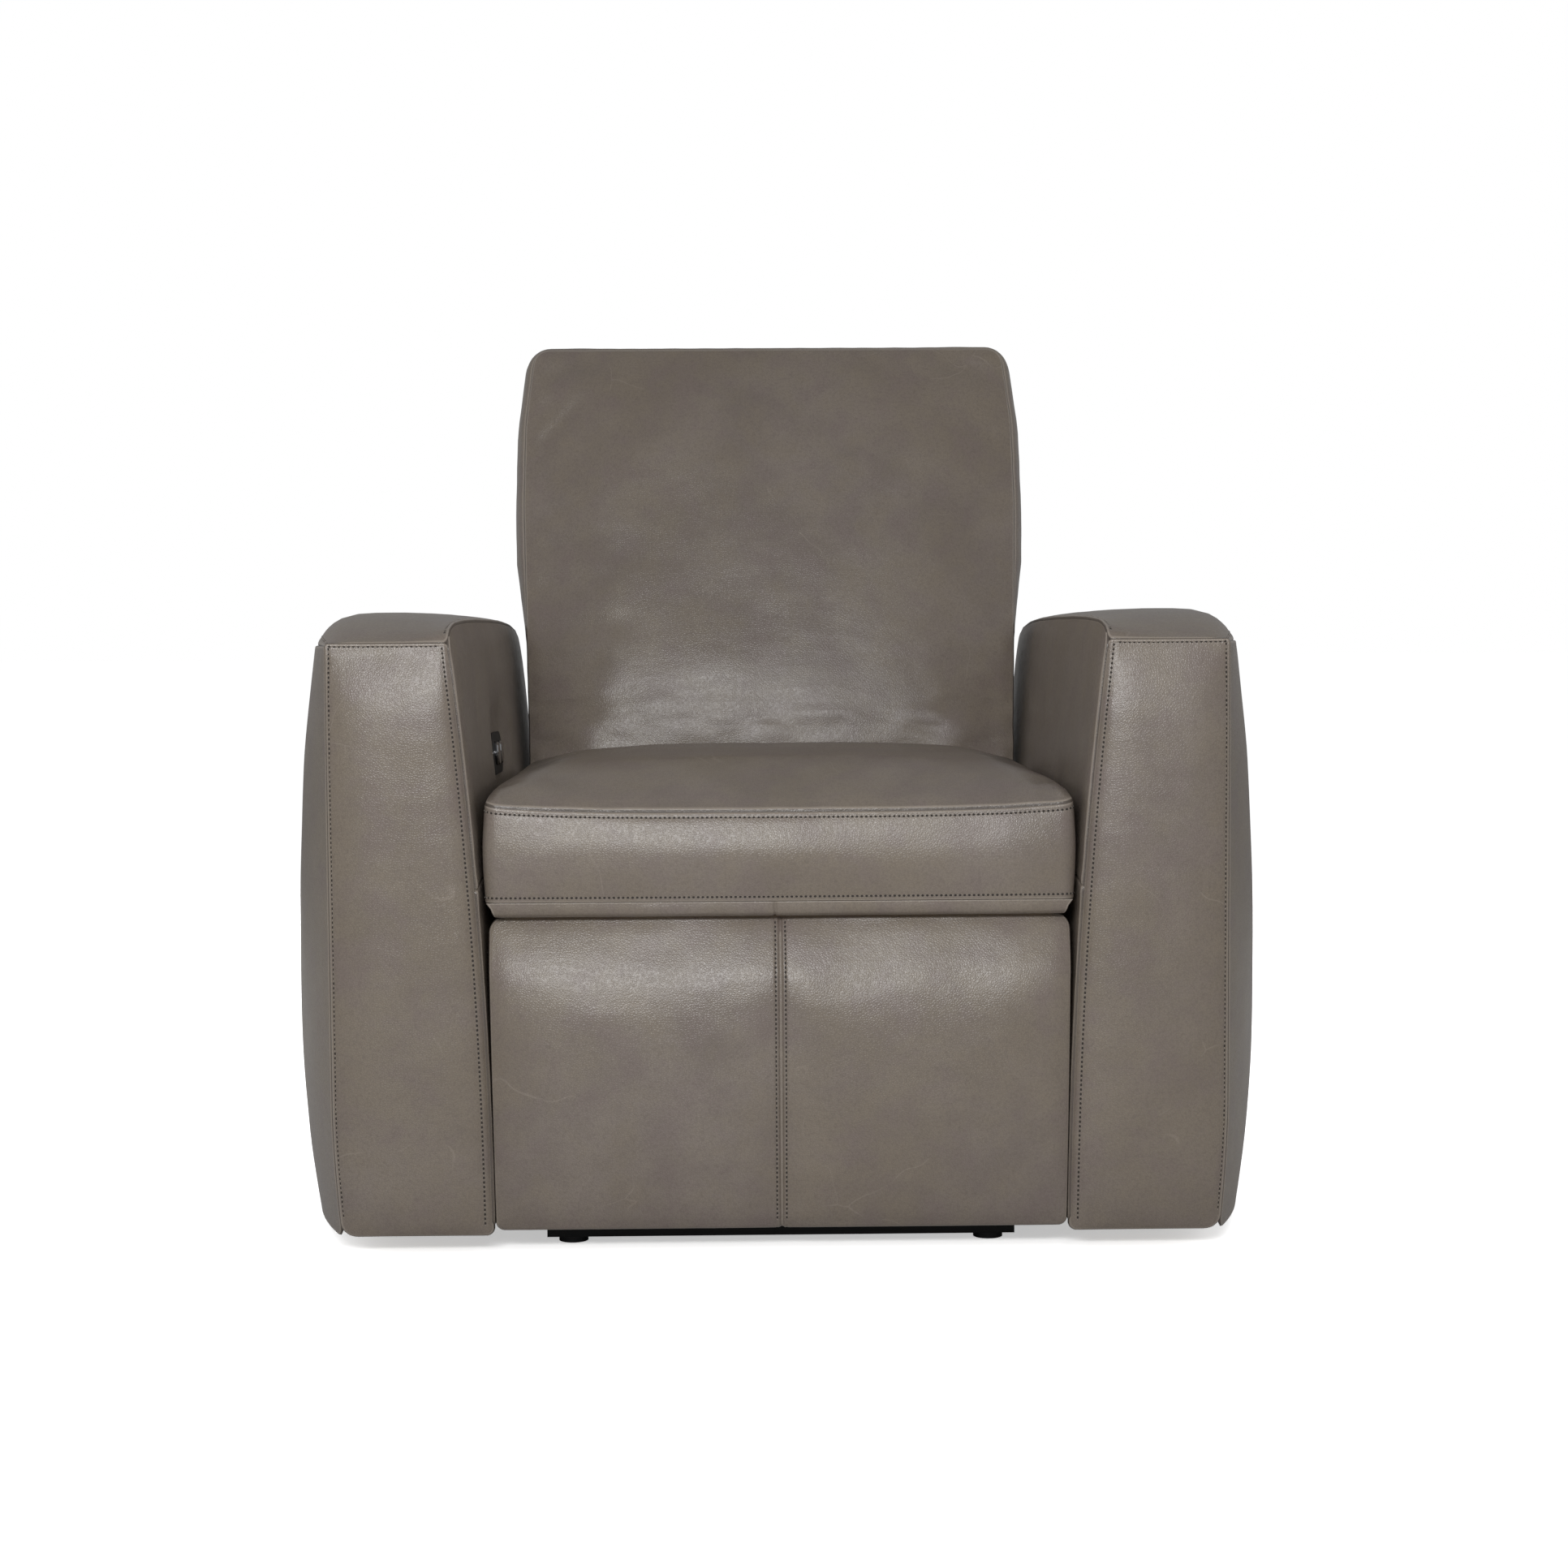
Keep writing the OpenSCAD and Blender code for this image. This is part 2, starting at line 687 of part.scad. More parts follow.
// Side plates, their outline as shares of the length to the pivot and the height over the runner
plate_shares = [[0, 1], [0, 0.84], [0.14, 0.64], [0.25, 0.3], [0.16, 0], [0.9, 0], [0.85, 0.33],
    [0.85, 0.69], [1, 0.85], [0.98, 1.015], [0.76, 1]];
window_shares = [[0.45, 0.2], [0.66, 0.2], [0.52, 0.8], [0.7, 0.76]];
function plate_point(p) = [plate_front + p.x * (pivot.x - plate_front),
    runner_top + p.y * (plate_top - runner_top)];
module plate(side) {
    color(zinc) on_side(side) along_x(plate_in, plate_out) difference() {
        union() {
            polygon([for (p = plate_shares) plate_point(p)]);
            translate(pivot) circle(r = pivot_d * 1.8);
            translate(hanger_pivot) circle(d = link_w);
        }
        translate(pivot) circle(d = pivot_d + 2 * pin_gap);
        translate(drive_pivot) circle(d = hole_d);
        translate(hanger_pivot) circle(d = hole_d);
        for (p = window_shares) translate(plate_point(p)) circle(d = 2 * link_w);
    }
}
module plate_left() { plate(-1); }
module plate_right() { plate(1); }

module runners() {
    half = track_w / 2 - track_wall - runner_gap;
    color(black_plastic) both_sides()
        box([track_x - half, runner_front, runner_low], [track_x + half, runner_rear, runner_top]);
}
module carriage_tubes() {
    color(black_steel) for (set = tube_set) cross_tube(plate_in, front_y + set, tube_low);
}

module seat_frame() {
    color(plywood) {
        both_sides() box([rail_in, rail_front_y, rail_low], [rail_out, rail_rear_y, rail_top]);
        for (y = [rail_front_y, rail_rear_y - rail_t])
            box([-rail_in - tiny, y, plate_top], [rail_in + tiny, y + rail_t, rail_top]);
    }
}
// Padded lip along the front edge of the deck board
lip_d = deck_t + cut - rest_gap;
lip_set = 2;
lip_front = front_y + lip_set;
module deck_board() {
    color(plywood) box([-rail_out, lip_front + lip_d + rest_gap, rail_top],
        [rail_out, rail_front_y + rail_t, deck_h - rest_gap]);
}
module deck_pad() {
    color(webbing) box([-rail_out, rail_front_y + rail_t + rest_gap, rail_top + rest_gap],
        [rail_out, rail_rear_y, deck_h - rest_gap]);
}
spring_turns = 10;
spring_swing = 25;
module seat_springs() {
    start = rail_front_y + rail_t + spring_wire;
    run = (rail_rear_y - rail_t - start - spring_wire) / spring_turns;
    pitch = 2 * rail_in / (spring_count + 1);
    color(zinc) for (n = [1 : spring_count]) {
        path = [for (k = [0 : spring_turns])
            [n * pitch - rail_in + (k % 2 == 0 ? -1 : 1) * spring_swing, start + k * run]];
        translate([0, 0, rail_top - spring_wire]) linear_extrude(spring_wire)
            for (k = [1 : spring_turns]) wire_2d(path[k - 1], path[k], spring_wire);
    }
}
module seat_lip() {
    nose = [lip_front + lip_d / 2, deck_h - rest_gap - lip_d / 2];
    color(hide) along_x(border_draw - cushion_w / 2, cushion_w / 2 - border_draw) {
        translate(nose) circle(d = lip_d);
        translate([nose.x, nose.y - lip_d / 2]) square([lip_d / 2, lip_d]);
    }
}
module seat_cushion() {
    half_x = cushion_w / 2 - border_draw;
    half_y = cushion_d / 2 - border_draw;
    share = 0.03;
    crown = seat_h - seam_z;
    color(hide) pad(16, 14, 5,
        function(s, t) [half_x * drawn(s, t, share), cushion_mid_y + half_y * drawn(t, s, share),
            seam_z + crown * dome(s, 2.6) * dome(t, 3)],
        function(s, t, q) let(out = border_draw * sin(180 * q))
            [(half_x + out) * drawn(s, t, share), cushion_mid_y + (half_y + out) * drawn(t, s, share),
                seam_z - border_h * q]);
}

module pivot_pins() {
    color(zinc) both_sides() {
        rod_x(layer_in(2), plate_out, drive_pivot, pin_d);
        rod_x(layer_in(1), plate_out, hanger_pivot, pin_d);
        rod_x(plate_in - link_t / 2, bracket_out + link_t / 2, pivot, pivot_d);
    }
}
module gearbox() {
    color(black_plastic) box([-gearbox_w / 2, drive_rail_rear, rail_base],
        [gearbox_w / 2, drive_rail_rear + gearbox_l, rail_base + gearbox_h]);
}
module motor() {
    motor_drop = 9;
    motor_boss = 8;
    axis = [drive_rail_rear + gearbox_l / 2, rail_base + gearbox_h - motor_d / 2 - motor_drop];
    color(black_steel) {
        rod_x(gearbox_w / 2, gearbox_w / 2 + motor_l, axis, motor_d);
        rod_x(gearbox_w / 2 + motor_l, gearbox_w / 2 + motor_l + motor_boss, axis, motor_d / 2);
    }
}
module drive_rail() {
    top = rail_base + drive_rail_h;
    stop = 10;
    color(zinc) difference() {
        union() {
            box([-drive_rail_w / 2, drive_rail_front, rail_base],
                [drive_rail_w / 2, drive_rail_rear, top]);
            box([-screw_d, drive_rail_front, rail_base],
                [screw_d, drive_rail_front + stop, screw_z + screw_d]);
        }
        translate([0, drive_rail_front + stop + cut, screw_z]) rotate([90, 0, 0])
            cylinder(d = screw_d + 2 * pin_gap, h = stop + 2 * cut);
    }
}
module lead_screw() {
    color(zinc) translate([0, drive_rail_rear, screw_z]) rotate([90, 0, 0])
        cylinder(d = screw_d, h = drive_rail_rear - drive_rail_front);
}
module drive_block() {
    color(black_plastic) difference() {
        union() {
            box([-block_w / 2, block_y - block_l / 2, screw_z - block_half_h],
                [block_w / 2, block_y + block_l / 2, screw_z + block_half_h]);
            rod_x(-drive_link_in - link_t, drive_link_in + link_t, [block_y, screw_z], pin_d);
        }
        translate([0, block_y + block_l, screw_z]) rotate([90, 0, 0])
            cylinder(d = screw_d + 4 * pin_gap, h = 2 * block_l);
    }
}
module drive_links() {
    knee = [block_y, screw_z];
    color(zinc) both_sides() along_x(drive_link_in, drive_link_in + link_t) difference() {
        bar_2d(knee, lever_pin, link_w * 8 / 11);
        for (p = [knee, lever_pin]) translate(p) circle(d = hole_d);
    }
}

module in_back() {
    translate([0, pivot.x, pivot.y]) rotate([-lean, 0, 0]) children();
}
module back_frame() {
    color(plywood) in_back() {
        both_sides() box([upright_out - upright_w, frame_front_v, back_frame_low],
            [upright_out, frame_rear_v, back_frame_top]);
        high = back_frame_top - back_rail_h;
        for (low = [back_frame_low, (back_frame_low + high) / 2, high])
            box([upright_w - upright_out - tiny, frame_front_v, low],
                [upright_out - upright_w + tiny, frame_rear_v, low + back_rail_h]);
    }
}
module back_straps() {
    step = (back_frame_top - back_frame_low) / 6;
    strap_short = 4;
    color(webbing) in_back() for (n = [1 : 5])
        box([strap_short - upright_out, frame_front_v - strap_t, back_frame_low + n * step - strap_w / 2],
            [upright_out - strap_short, frame_front_v, back_frame_low + n * step + strap_w / 2]);
}
// Half width of the back at a share of its height
function back_half(t) = back_w / 2 * lookup(t, back_width_shares);
module back_cushion() {
    seam = back_front + back_crown;
    mid_w = (back_low + back_top) / 2;
    half_w = (back_top - back_low) / 2 - back_draw;
    clear = back_frame_top + rest_gap;
    color(hide) in_back() difference() {
        pad(16, 20, 6,
            function(s, t) [(back_half(t) - back_draw) * drawn(s, t, back_share),
                seam - back_crown * dome(s, 3) * dome(t, 3), mid_w + half_w * drawn(t, s, back_share)],
            function(s, t, q) let(out = back_draw * sin(150 * q))
                [(back_half(t) - back_draw + out) * drawn(s, t, back_share),
                    seam + (back_pad_rear - seam) * q, mid_w + (half_w + out) * drawn(t, s, back_share)]);
        box([-bracket_out - cut, -bracket_front - cut, back_low - upright_t],
            [bracket_out + cut, back_rear, clear]);
    }
}
module back_rear_cover() {
    low = -cover_drop;
    high = back_top - back_draw;
    mid_w = (low + high) / 2;
    half_w = (high - low) / 2;
    crown = 4;
    function half_x(t) = back_w / 2 - 2 * back_draw + back_draw * t;
    color(hide) in_back() pad(8, 14, 2,
        function(s, t) [-half_x(t) * drawn(s, t, back_share),
            back_rear - crown * (1 - dome(s, 4) * dome(t, 8)), mid_w + half_w * drawn(t, s, back_share)],
        function(s, t, q) [-half_x(t) * drawn(s, t, back_share),
            back_rear - crown - (rear_cover_t - rest_gap - crown) * q,
            mid_w + half_w * drawn(t, s, back_share)]);
}
module back_brackets() {
    foot = [0, -bracket_reach];
    color(zinc) both_sides() in_back() {
        along_x(bracket_in, bracket_out) difference() {
            union() {
                bar_2d(foot, [0, 0], link_w);
                translate([-bracket_front, 0]) square([bracket_w, bracket_top]);
            }
            circle(d = pivot_d + 2 * pin_gap);
        }
        rod_x(bracket_out, recline_in - link_gap, foot, pin_d + stub_step);
    }
}
module recline_links() {
    color(zinc) both_sides()
        link_bar(recline_in, recline_out, bracket_foot, anchor, [bracket_foot, anchor]);
}

// Drive tube with its two levers, and the links of the footrest from the plate inward
module drive_tube() {
    color(black_steel) difference() {
        union() {
            rod_x(-layer_in(2), layer_in(2), drive_pivot, drive_d);
            both_sides() link_bar(lever_in, lever_in + link_t, drive_pivot, lever_pin, [lever_pin]);
        }
        rod_x(-layer_in(2) - cut, layer_in(2) + cut, drive_pivot, drive_d - 2 * tube_wall);
    }
}
module front_links() {
    color(zinc) both_sides() {
        link_bar(layer_in(2), layer_out(2), drive_pivot, front_pin, [drive_pivot]);
        rod_x(layer_in(3), layer_in(2), front_pin, pin_d);
    }
}
module hanger_links() {
    color(zinc) both_sides() {
        link_bar(layer_in(1), layer_out(1), hanger_pivot, cross_pin, [hanger_pivot, cross_pin]);
        rod_x(layer_in(2), layer_in(1), guide_pin, pin_d);
    }
}
module guide_links() {
    color(zinc) both_sides()
        link_bar(layer_in(2), layer_out(2), guide_pin, lift_pin, [guide_pin, lift_pin]);
}
module lift_links() {
    color(zinc) both_sides() {
        link_bar(layer_in(3), layer_out(3), front_pin, foot_pin, [front_pin, cross_pin]);
        rod_x(layer_in(4), layer_in(3), foot_pin, pin_d);
    }
}
module footrest_brackets() {
    low = foot_pin.y - link_w / 2;
    high = lift_pin.y + link_w / 2;
    color(zinc) both_sides() {
        along_x(layer_in(4), layer_out(4)) difference() {
            union() {
                bar_2d(foot_pin, lift_pin, link_w);
                translate([board_back, low]) square([foot_pin.x - board_back, high - low]);
            }
            for (p = [foot_pin, lift_pin]) translate(p) circle(d = hole_d);
        }
        box([layer_in(4) - flange_w, board_back, low], [layer_in(4) + tiny, board_back + flange_t, high]);
    }
}
module footrest_board() {
    margin = 11;
    top_margin = 8;
    slot = 2;
    slot_drop = 19;
    color(plywood) difference() {
        box([margin - foot_low_x, foot_back + rest_gap, foot_low + margin],
            [foot_low_x - margin, board_back, foot_top - top_margin]);
        both_sides() box([layer_in(2) - slot, foot_back, lift_pin.y - slot_drop],
            [plate_out + slot, board_back + cut, foot_top]);
    }
}
module footrest_pad() {
    crown = 7;
    mid_z = (foot_low + foot_top) / 2;
    half_z = (foot_top - foot_low) / 2;
    edge_draw = 2;
    wide_share = end_draw / foot_low_x;
    high_share = end_draw / half_z;
    function half_x(t) = (foot_low_x + foot_top_x) / 2 + t * (foot_top_x - foot_low_x) / 2;
    color(hide) pad(16, 10, 3,
        function(s, t) [half_x(t) * drawn(s, t, wide_share),
            foot_front + crown * (1 - dome(2 * abs(s) - 1, 4) * dome(t, 5)),
            mid_z + half_z * drawn(t, s, high_share)],
        function(s, t, q) let(out = edge_draw * (sin(180 * q) - 1))
            [(half_x(t) + out) * drawn(s, t, wide_share),
                foot_front + crown + (foot_pad_t - crown) * q,
                mid_z + (half_z + out) * drawn(t, s, high_share)]);
}

base_front_tube();
base_rear_tube();
base_side_tubes();
arm_bars();
track_left();
track_right();
feet();
kick_panel();
kick_brackets();
control_box();
arm_frame_left();
arm_frame_right();
arm_outer_pad_left();
arm_outer_pad_right();
arm_inner_pad_left();
arm_inner_pad_right();
arm_top_pad_left();
arm_top_pad_right();
arm_front_pad_left();
arm_front_pad_right();
arm_rear_panel_left();
arm_rear_panel_right();
switch_plate();
switch_housing();
recline_brackets();
arm_bolts();
button_open();
button_close();
plate_left();
plate_right();
runners();
carriage_tubes();
seat_frame();
deck_board();
deck_pad();
seat_springs();
seat_lip();
seat_cushion();
pivot_pins();
motor();
gearbox();
drive_rail();
lead_screw();
drive_block();
drive_links();
back_frame();
back_straps();
back_cushion();
back_rear_cover();
back_brackets();
drive_tube();
front_links();
hanger_links();
guide_links();
lift_links();
recline_links();
footrest_board();
footrest_pad();
footrest_brackets();
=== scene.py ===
"""A leather home-cinema recliner: upholstery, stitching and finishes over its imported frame."""
import json
import math

import bpy
import numpy as np
from mathutils import Matrix


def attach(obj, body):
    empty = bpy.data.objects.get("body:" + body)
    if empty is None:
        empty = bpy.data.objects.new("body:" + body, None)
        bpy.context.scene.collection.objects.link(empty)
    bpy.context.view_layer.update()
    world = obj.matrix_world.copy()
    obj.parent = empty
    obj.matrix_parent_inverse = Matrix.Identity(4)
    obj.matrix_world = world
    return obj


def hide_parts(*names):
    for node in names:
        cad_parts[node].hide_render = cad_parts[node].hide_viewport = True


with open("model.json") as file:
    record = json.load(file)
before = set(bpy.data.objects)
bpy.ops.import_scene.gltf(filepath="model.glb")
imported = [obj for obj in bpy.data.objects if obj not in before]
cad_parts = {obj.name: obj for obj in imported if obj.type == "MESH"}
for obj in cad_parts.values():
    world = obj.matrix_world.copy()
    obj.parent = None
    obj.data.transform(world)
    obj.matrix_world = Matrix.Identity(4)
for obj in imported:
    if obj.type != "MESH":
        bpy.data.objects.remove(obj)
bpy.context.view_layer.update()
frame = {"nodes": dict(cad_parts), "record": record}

# Sizes and places, in millimetres, as the solids of the frame have them
FRONT, ARM_REAR = -440.0, 335.0
ARM_LOW, SEAM_Z, SEAM_X = 22.0, 611.0, 445.0
RIM_Y = FRONT + 9.0
INNER_X, INNER_LOW, INNER_RISE = 285, 31, 580  # an arm's inner face, from its foot to its top seam
LEAN = math.radians(16)
PIVOT = (185.0, 285.0)  # y and z of the pin that the back turns on
SWITCH_Y, SWITCH_Z = -78.0, 486.0

# Sewing
STITCH, STITCH_LONG = 4.6, 2.7  # from stitch to stitch, and a stitch itself
SEAM_WIDE = 2.2
NEAR_SEAM = (0, 0.7, 1.5, 2.6, 4, 5.5, 7, 8.6, 11, 15, 21)  # grid lines beside a seam

# Filling: leather cut larger than its foam by a share, pushed out for some frames
SPARE, PRESSURE, FRAMES = 0.012, 4.0, 20


# Shader maths

class Flow:
    """A socket of a finish, so that sums of sockets read as sums."""

    def __init__(self, tree, socket):
        self.tree, self.socket = tree, socket

    def work(self, how, a, b):
        node = self.tree.nodes.new("ShaderNodeMath")
        node.operation = how
        for place, value in zip(node.inputs, (a, b)):
            if isinstance(value, Flow):
                self.tree.links.new(value.socket, place)
            else:
                place.default_value = value
        return Flow(self.tree, node.outputs[0])

    def __add__(self, other):
        return self.work("ADD", self, other)

    def __rsub__(self, other):
        return self.work("SUBTRACT", other, self)

    def __mul__(self, other):
        return self.work("MULTIPLY", self, other)

    __radd__ = __add__
    __rmul__ = __mul__

    def above(self, low, high):
        """0 below low, 1 above high, smooth between."""
        node = self.tree.nodes.new("ShaderNodeMapRange")
        node.interpolation_type = "SMOOTHSTEP"
        self.tree.links.new(self.socket, node.inputs["Value"])
        node.inputs["From Min"].default_value = low
        node.inputs["From Max"].default_value = high
        return Flow(self.tree, node.outputs[0])


class Finish:
    """A material, with words for the nodes that make it."""

    def __init__(self, name, **plain):
        self.material = bpy.data.materials.new(name)
        self.material.use_nodes = True
        self.tree = self.material.node_tree
        self.shader = self.tree.nodes["Principled BSDF"]
        self.place = self.node("TexCoord", out="Object")
        for word, value in plain.items():
            self.shader.inputs[word.replace("_", " ")].default_value = value

    def feed(self, place, value):
        if isinstance(value, Flow):
            self.tree.links.new(value.socket, place)
        elif hasattr(value, "__len__") and len(value) == 3 and place.type == "RGBA":
            place.default_value = (*value, 1)
        else:
            place.default_value = value

    def node(self, kind, settings=None, out=0, **sockets):
        node = self.tree.nodes.new("ShaderNode" + kind)
        for word, value in (settings or {}).items():
            setattr(node, word, value)
        for word, value in sockets.items():
            self.feed(node.inputs[word.replace("_", " ")], value)
        return Flow(self.tree, node.outputs[out])

    def mix(self, share, a, b):
        node = self.tree.nodes.new("ShaderNodeMix")
        node.data_type = "RGBA"
        for number, value in ((0, share), (6, a), (7, b)):
            self.feed(node.inputs[number], value)
        return Flow(self.tree, node.outputs[2])

    def stretched(self, *scale):
        return self.node("Mapping", Vector=self.place, Scale=scale)

    def noise(self, scale, detail=2.0, roughness=0.5, where=None):
        return self.node("TexNoise", Vector=where or self.place, Scale=scale, Detail=detail,
                         Roughness=roughness)

    def bump(self, height, strength, distance, under=None):
        more = {} if under is None else {"Normal": under}
        return self.node("Bump", Height=height, Strength=strength, Distance=distance, **more)

    def give(self, **sockets):
        for word, value in sockets.items():
            self.feed(self.shader.inputs[word.replace("_", " ")], value)


def paint(*rgb):
    """A screen colour, 0 to 255, as the shader takes it."""
    return tuple((c / 255 / 12.92) if c <= 10 else ((c / 255 + 0.055) / 1.055) ** 2.4 for c in rgb)


def leather():
    """Corrected taupe leather, with a painted highlight as a paler band along each seam and painted
    shade as a dark colour in each seam's gap.
    """
    f = Finish("leather", Specular_IOR_Level=0.46)
    drift = f.noise(3.4, 2, 0.5)
    cloud = f.noise(10, 3, 0.55)
    tone = f.noise(26, 4, 0.62)
    fleck = f.noise(330, 3, 0.65)
    pore = f.node("TexVoronoi", {"feature": "DISTANCE_TO_EDGE"}, Vector=f.place, Scale=430,
                  Randomness=0.95)
    base = f.mix(cloud.above(0.34, 0.66), paint(110, 101, 94), paint(120, 111, 103))
    base = f.mix(drift.above(0.40, 0.62) * 0.45, base, paint(116, 106, 92))
    base = f.mix(tone.above(0.46, 0.70) * 0.4, base, paint(119, 109, 95))
    base = f.mix(tone.above(0.54, 0.30) * 0.45, base, paint(110, 98, 96))
    base = f.mix(fleck.above(0.40, 0.72) * 0.3, base, paint(88, 79, 72))
    base = f.mix(pore.above(0.12, 0.0) * 0.25, base, paint(82, 74, 67))
    sway = f.mix(0.1, f.place, f.node("TexNoise", out="Color", Vector=f.place, Scale=9.0, Detail=2.0))
    vein = f.node("TexVoronoi", {"feature": "DISTANCE_TO_EDGE"}, Vector=sway, Scale=6.5,
                  Randomness=1.0)
    scratch = vein.above(0.005, 0.0012) * f.noise(13, 2, 0.5).above(0.55, 0.64)
    base = f.mix(scratch * 0.2, base, paint(152, 142, 133))
    seam = f.node("Attribute", {"attribute_name": "seam"}, out="Fac")
    gap = seam.above(0.72, 0.98)
    # Painted highlight: a paler band just beside each seam, standing for light on its raised edge.
    base = f.mix(seam.above(0.1, 0.4) * (1 - gap) * 0.45, base, paint(152, 143, 133))
    # Painted shade: dark where seam closeness is near 1, in a seam's gap and on the walls between
    # panels.
    base = f.mix(gap * 0.6, base, paint(46, 40, 36))
    skin = f.bump(pore.above(0.0, 0.34) + fleck * 0.6, 0.5, 0.00017)
    soft = f.bump(f.noise(22, 2, 0.5), 0.5, 0.0014, skin)
    broad = f.bump(f.noise(9, 2, 0.5, f.stretched(0.7, 1, 1.5)), 0.5, 0.0045, soft)
    f.give(Base_Color=base, Roughness=0.23 + 0.08 * cloud + 0.11 * fleck, Normal=broad)
    return f.material


def thread_finish():
    f = Finish("thread", Roughness=0.62, Sheen_Weight=0.3)
    twist = f.node("TexWave", Vector=f.place, Scale=900, Distortion=1.5, Detail=1.0)
    # Painted shade: the thread is darker down the grooves of its twist, the same wave as its bump.
    f.give(Base_Color=f.mix(twist, paint(104, 95, 86), paint(140, 130, 119)),
           Normal=f.bump(twist, 0.5, 0.0002))
    return f.material


def hole_shade_finish():
    # Painted shade: a dark flat disc stands where a stitch hole's shadow is.
    f = Finish("painted_hole_shade", Roughness=0.8)
    f.give(Base_Color=f.mix(f.noise(500), paint(34, 29, 26), paint(50, 44, 39)))
    return f.material


def painted_steel():
    f = Finish("painted_steel", Metallic=0.0, Specular_IOR_Level=0.28)
    peel = f.noise(310, 2, 0.5)
    dust = f.noise(14, 4, 0.6)
    f.give(Base_Color=f.mix(dust.above(0.45, 0.75) * 0.5, paint(13, 13, 14), paint(30, 29, 28)),
           Roughness=0.42 + 0.25 * dust, Normal=f.bump(peel, 0.22, 0.0004))
    return f.material


def zinc_steel():
    f = Finish("zinc_steel", Metallic=1.0)
    bloom = f.node("TexVoronoi", Vector=f.place, Scale=55, Randomness=1.0)
    rolled = f.noise(60, 3, 0.6, f.stretched(1, 0.08, 1))
    scuff = f.noise(160, 3, 0.7)
    base = f.mix(bloom.above(0.0, 0.9), paint(165, 168, 172), paint(196, 198, 200))
    base = f.mix(scuff.above(0.6, 0.8) * 0.4, base, paint(128, 126, 122))
    f.give(Base_Color=base, Roughness=0.30 + 0.16 * bloom + 0.14 * rolled,
           Normal=f.bump(rolled + scuff * 0.4, 0.12, 0.0003))
    return f.material


def plywood_finish():
    f = Finish("plywood", Coat_Roughness=0.4)
    grain = f.node("TexWave", {"bands_direction": "Y"}, Vector=f.stretched(0.12, 1, 1), Scale=38,
                   Distortion=7.0, Detail=3.0, Detail_Scale=1.6)
    fibre = f.noise(420, 3, 0.6, f.stretched(0.05, 1, 1))
    base = f.mix(grain, paint(196, 165, 122), paint(222, 195, 152))
    base = f.mix(fibre.above(0.5, 0.8) * 0.5, base, paint(166, 132, 90))
    ply = f.node("TexWave", {"bands_direction": "Z", "wave_profile": "SAW"}, Vector=f.place, Scale=100,
                 Distortion=0.2)
    up = f.node("SeparateXYZ", Vector=f.node("NewGeometry", out="Normal"), out=2)
    edge = 1 - (up * up).above(0.3, 0.7)
    base = f.mix(edge * ply.above(0.35, 0.65) * 0.35, base, paint(140, 106, 72))
    f.give(Base_Color=base, Roughness=0.55 + 0.2 * fibre, Coat_Weight=0.05 + 0.1 * grain,
           Normal=f.bump(fibre + grain * 0.5, 0.25, 0.0003))
    return f.material


def moulded_plastic():
    f = Finish("moulded_plastic", Specular_IOR_Level=0.3)
    spark = f.noise(900, 2, 0.5)
    haze = f.noise(30, 3, 0.6)
    f.give(Base_Color=f.mix(haze.above(0.35, 0.7), paint(22, 22, 24), paint(33, 33, 35)),
           Roughness=0.42 + 0.2 * haze, Normal=f.bump(spark, 0.3, 0.0002))
    return f.material


def strap_weave(name, dark, light, across):
    f = Finish(name, Sheen_Weight=0.35, Sheen_Roughness=0.4)
    warp = f.node("TexWave", {"bands_direction": "X"}, Vector=f.place, Scale=across)
    weft = f.node("TexWave", {"bands_direction": "Z"}, Vector=f.place, Scale=across * 0.8)
    cloth = warp * weft
    fuzz = f.noise(700, 3, 0.7)
    # Painted shade with real fuzz: the strap is darker in the hollows of its weave, the same pattern as
    # its bump.
    f.give(Base_Color=f.mix(cloth + fuzz * 0.4, dark, light), Roughness=0.8 + 0.15 * fuzz,
           Normal=f.bump(cloth + fuzz * 0.3, 0.6, 0.0005))
    return f.material


def polished_chrome():
    f = Finish("polished_chrome", Metallic=1.0)
    smear = f.noise(90, 3, 0.6)
    f.give(Base_Color=f.mix(smear, paint(158, 159, 162), paint(186, 187, 190)),
           Roughness=0.06 + 0.1 * smear, Normal=f.bump(smear, 0.05, 0.0002))
    return f.material


LEATHER = leather()
THREAD, HOLE_SHADE = thread_finish(), hole_shade_finish()
FINISHES = {
    "black_steel": painted_steel(), "zinc_steel": zinc_steel(), "plywood": plywood_finish(),
    "black_plastic": moulded_plastic(),
    "webbing": strap_weave("strap_weave", paint(38, 36, 33), paint(74, 70, 65), 160),
    "button_chrome": polished_chrome(), "upholstery": LEATHER}
for part in frame["record"]["subparts"]:
    shown = frame["nodes"][part["node"]]
    shown.data.materials.clear()
    shown.data.materials.append(FINISHES[part["material_slot"]])


# Shapes

def mesh_piece(name, points, faces, materials, body, seam=None, kinds=None):
    """A smooth mesh, from millimetres, that rides on a body."""
    mesh = bpy.data.meshes.new(name)
    mesh.from_pydata((np.asarray(points) * 0.001).tolist(), [], faces)
    for material in materials:
        mesh.materials.append(material)
    if kinds is not None:
        mesh.polygons.foreach_set("material_index", kinds)
    mesh.polygons.foreach_set("use_smooth", [True] * len(mesh.polygons))
    if seam is not None:
        closeness = mesh.attributes.new("seam", "FLOAT", "POINT")
        closeness.data.foreach_set("value", np.asarray(seam, np.float32))
    mesh.update()
    piece = bpy.data.objects.new(name, mesh)
    bpy.context.scene.collection.objects.link(piece)
    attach(piece, body)
    return piece


WAVES = 64


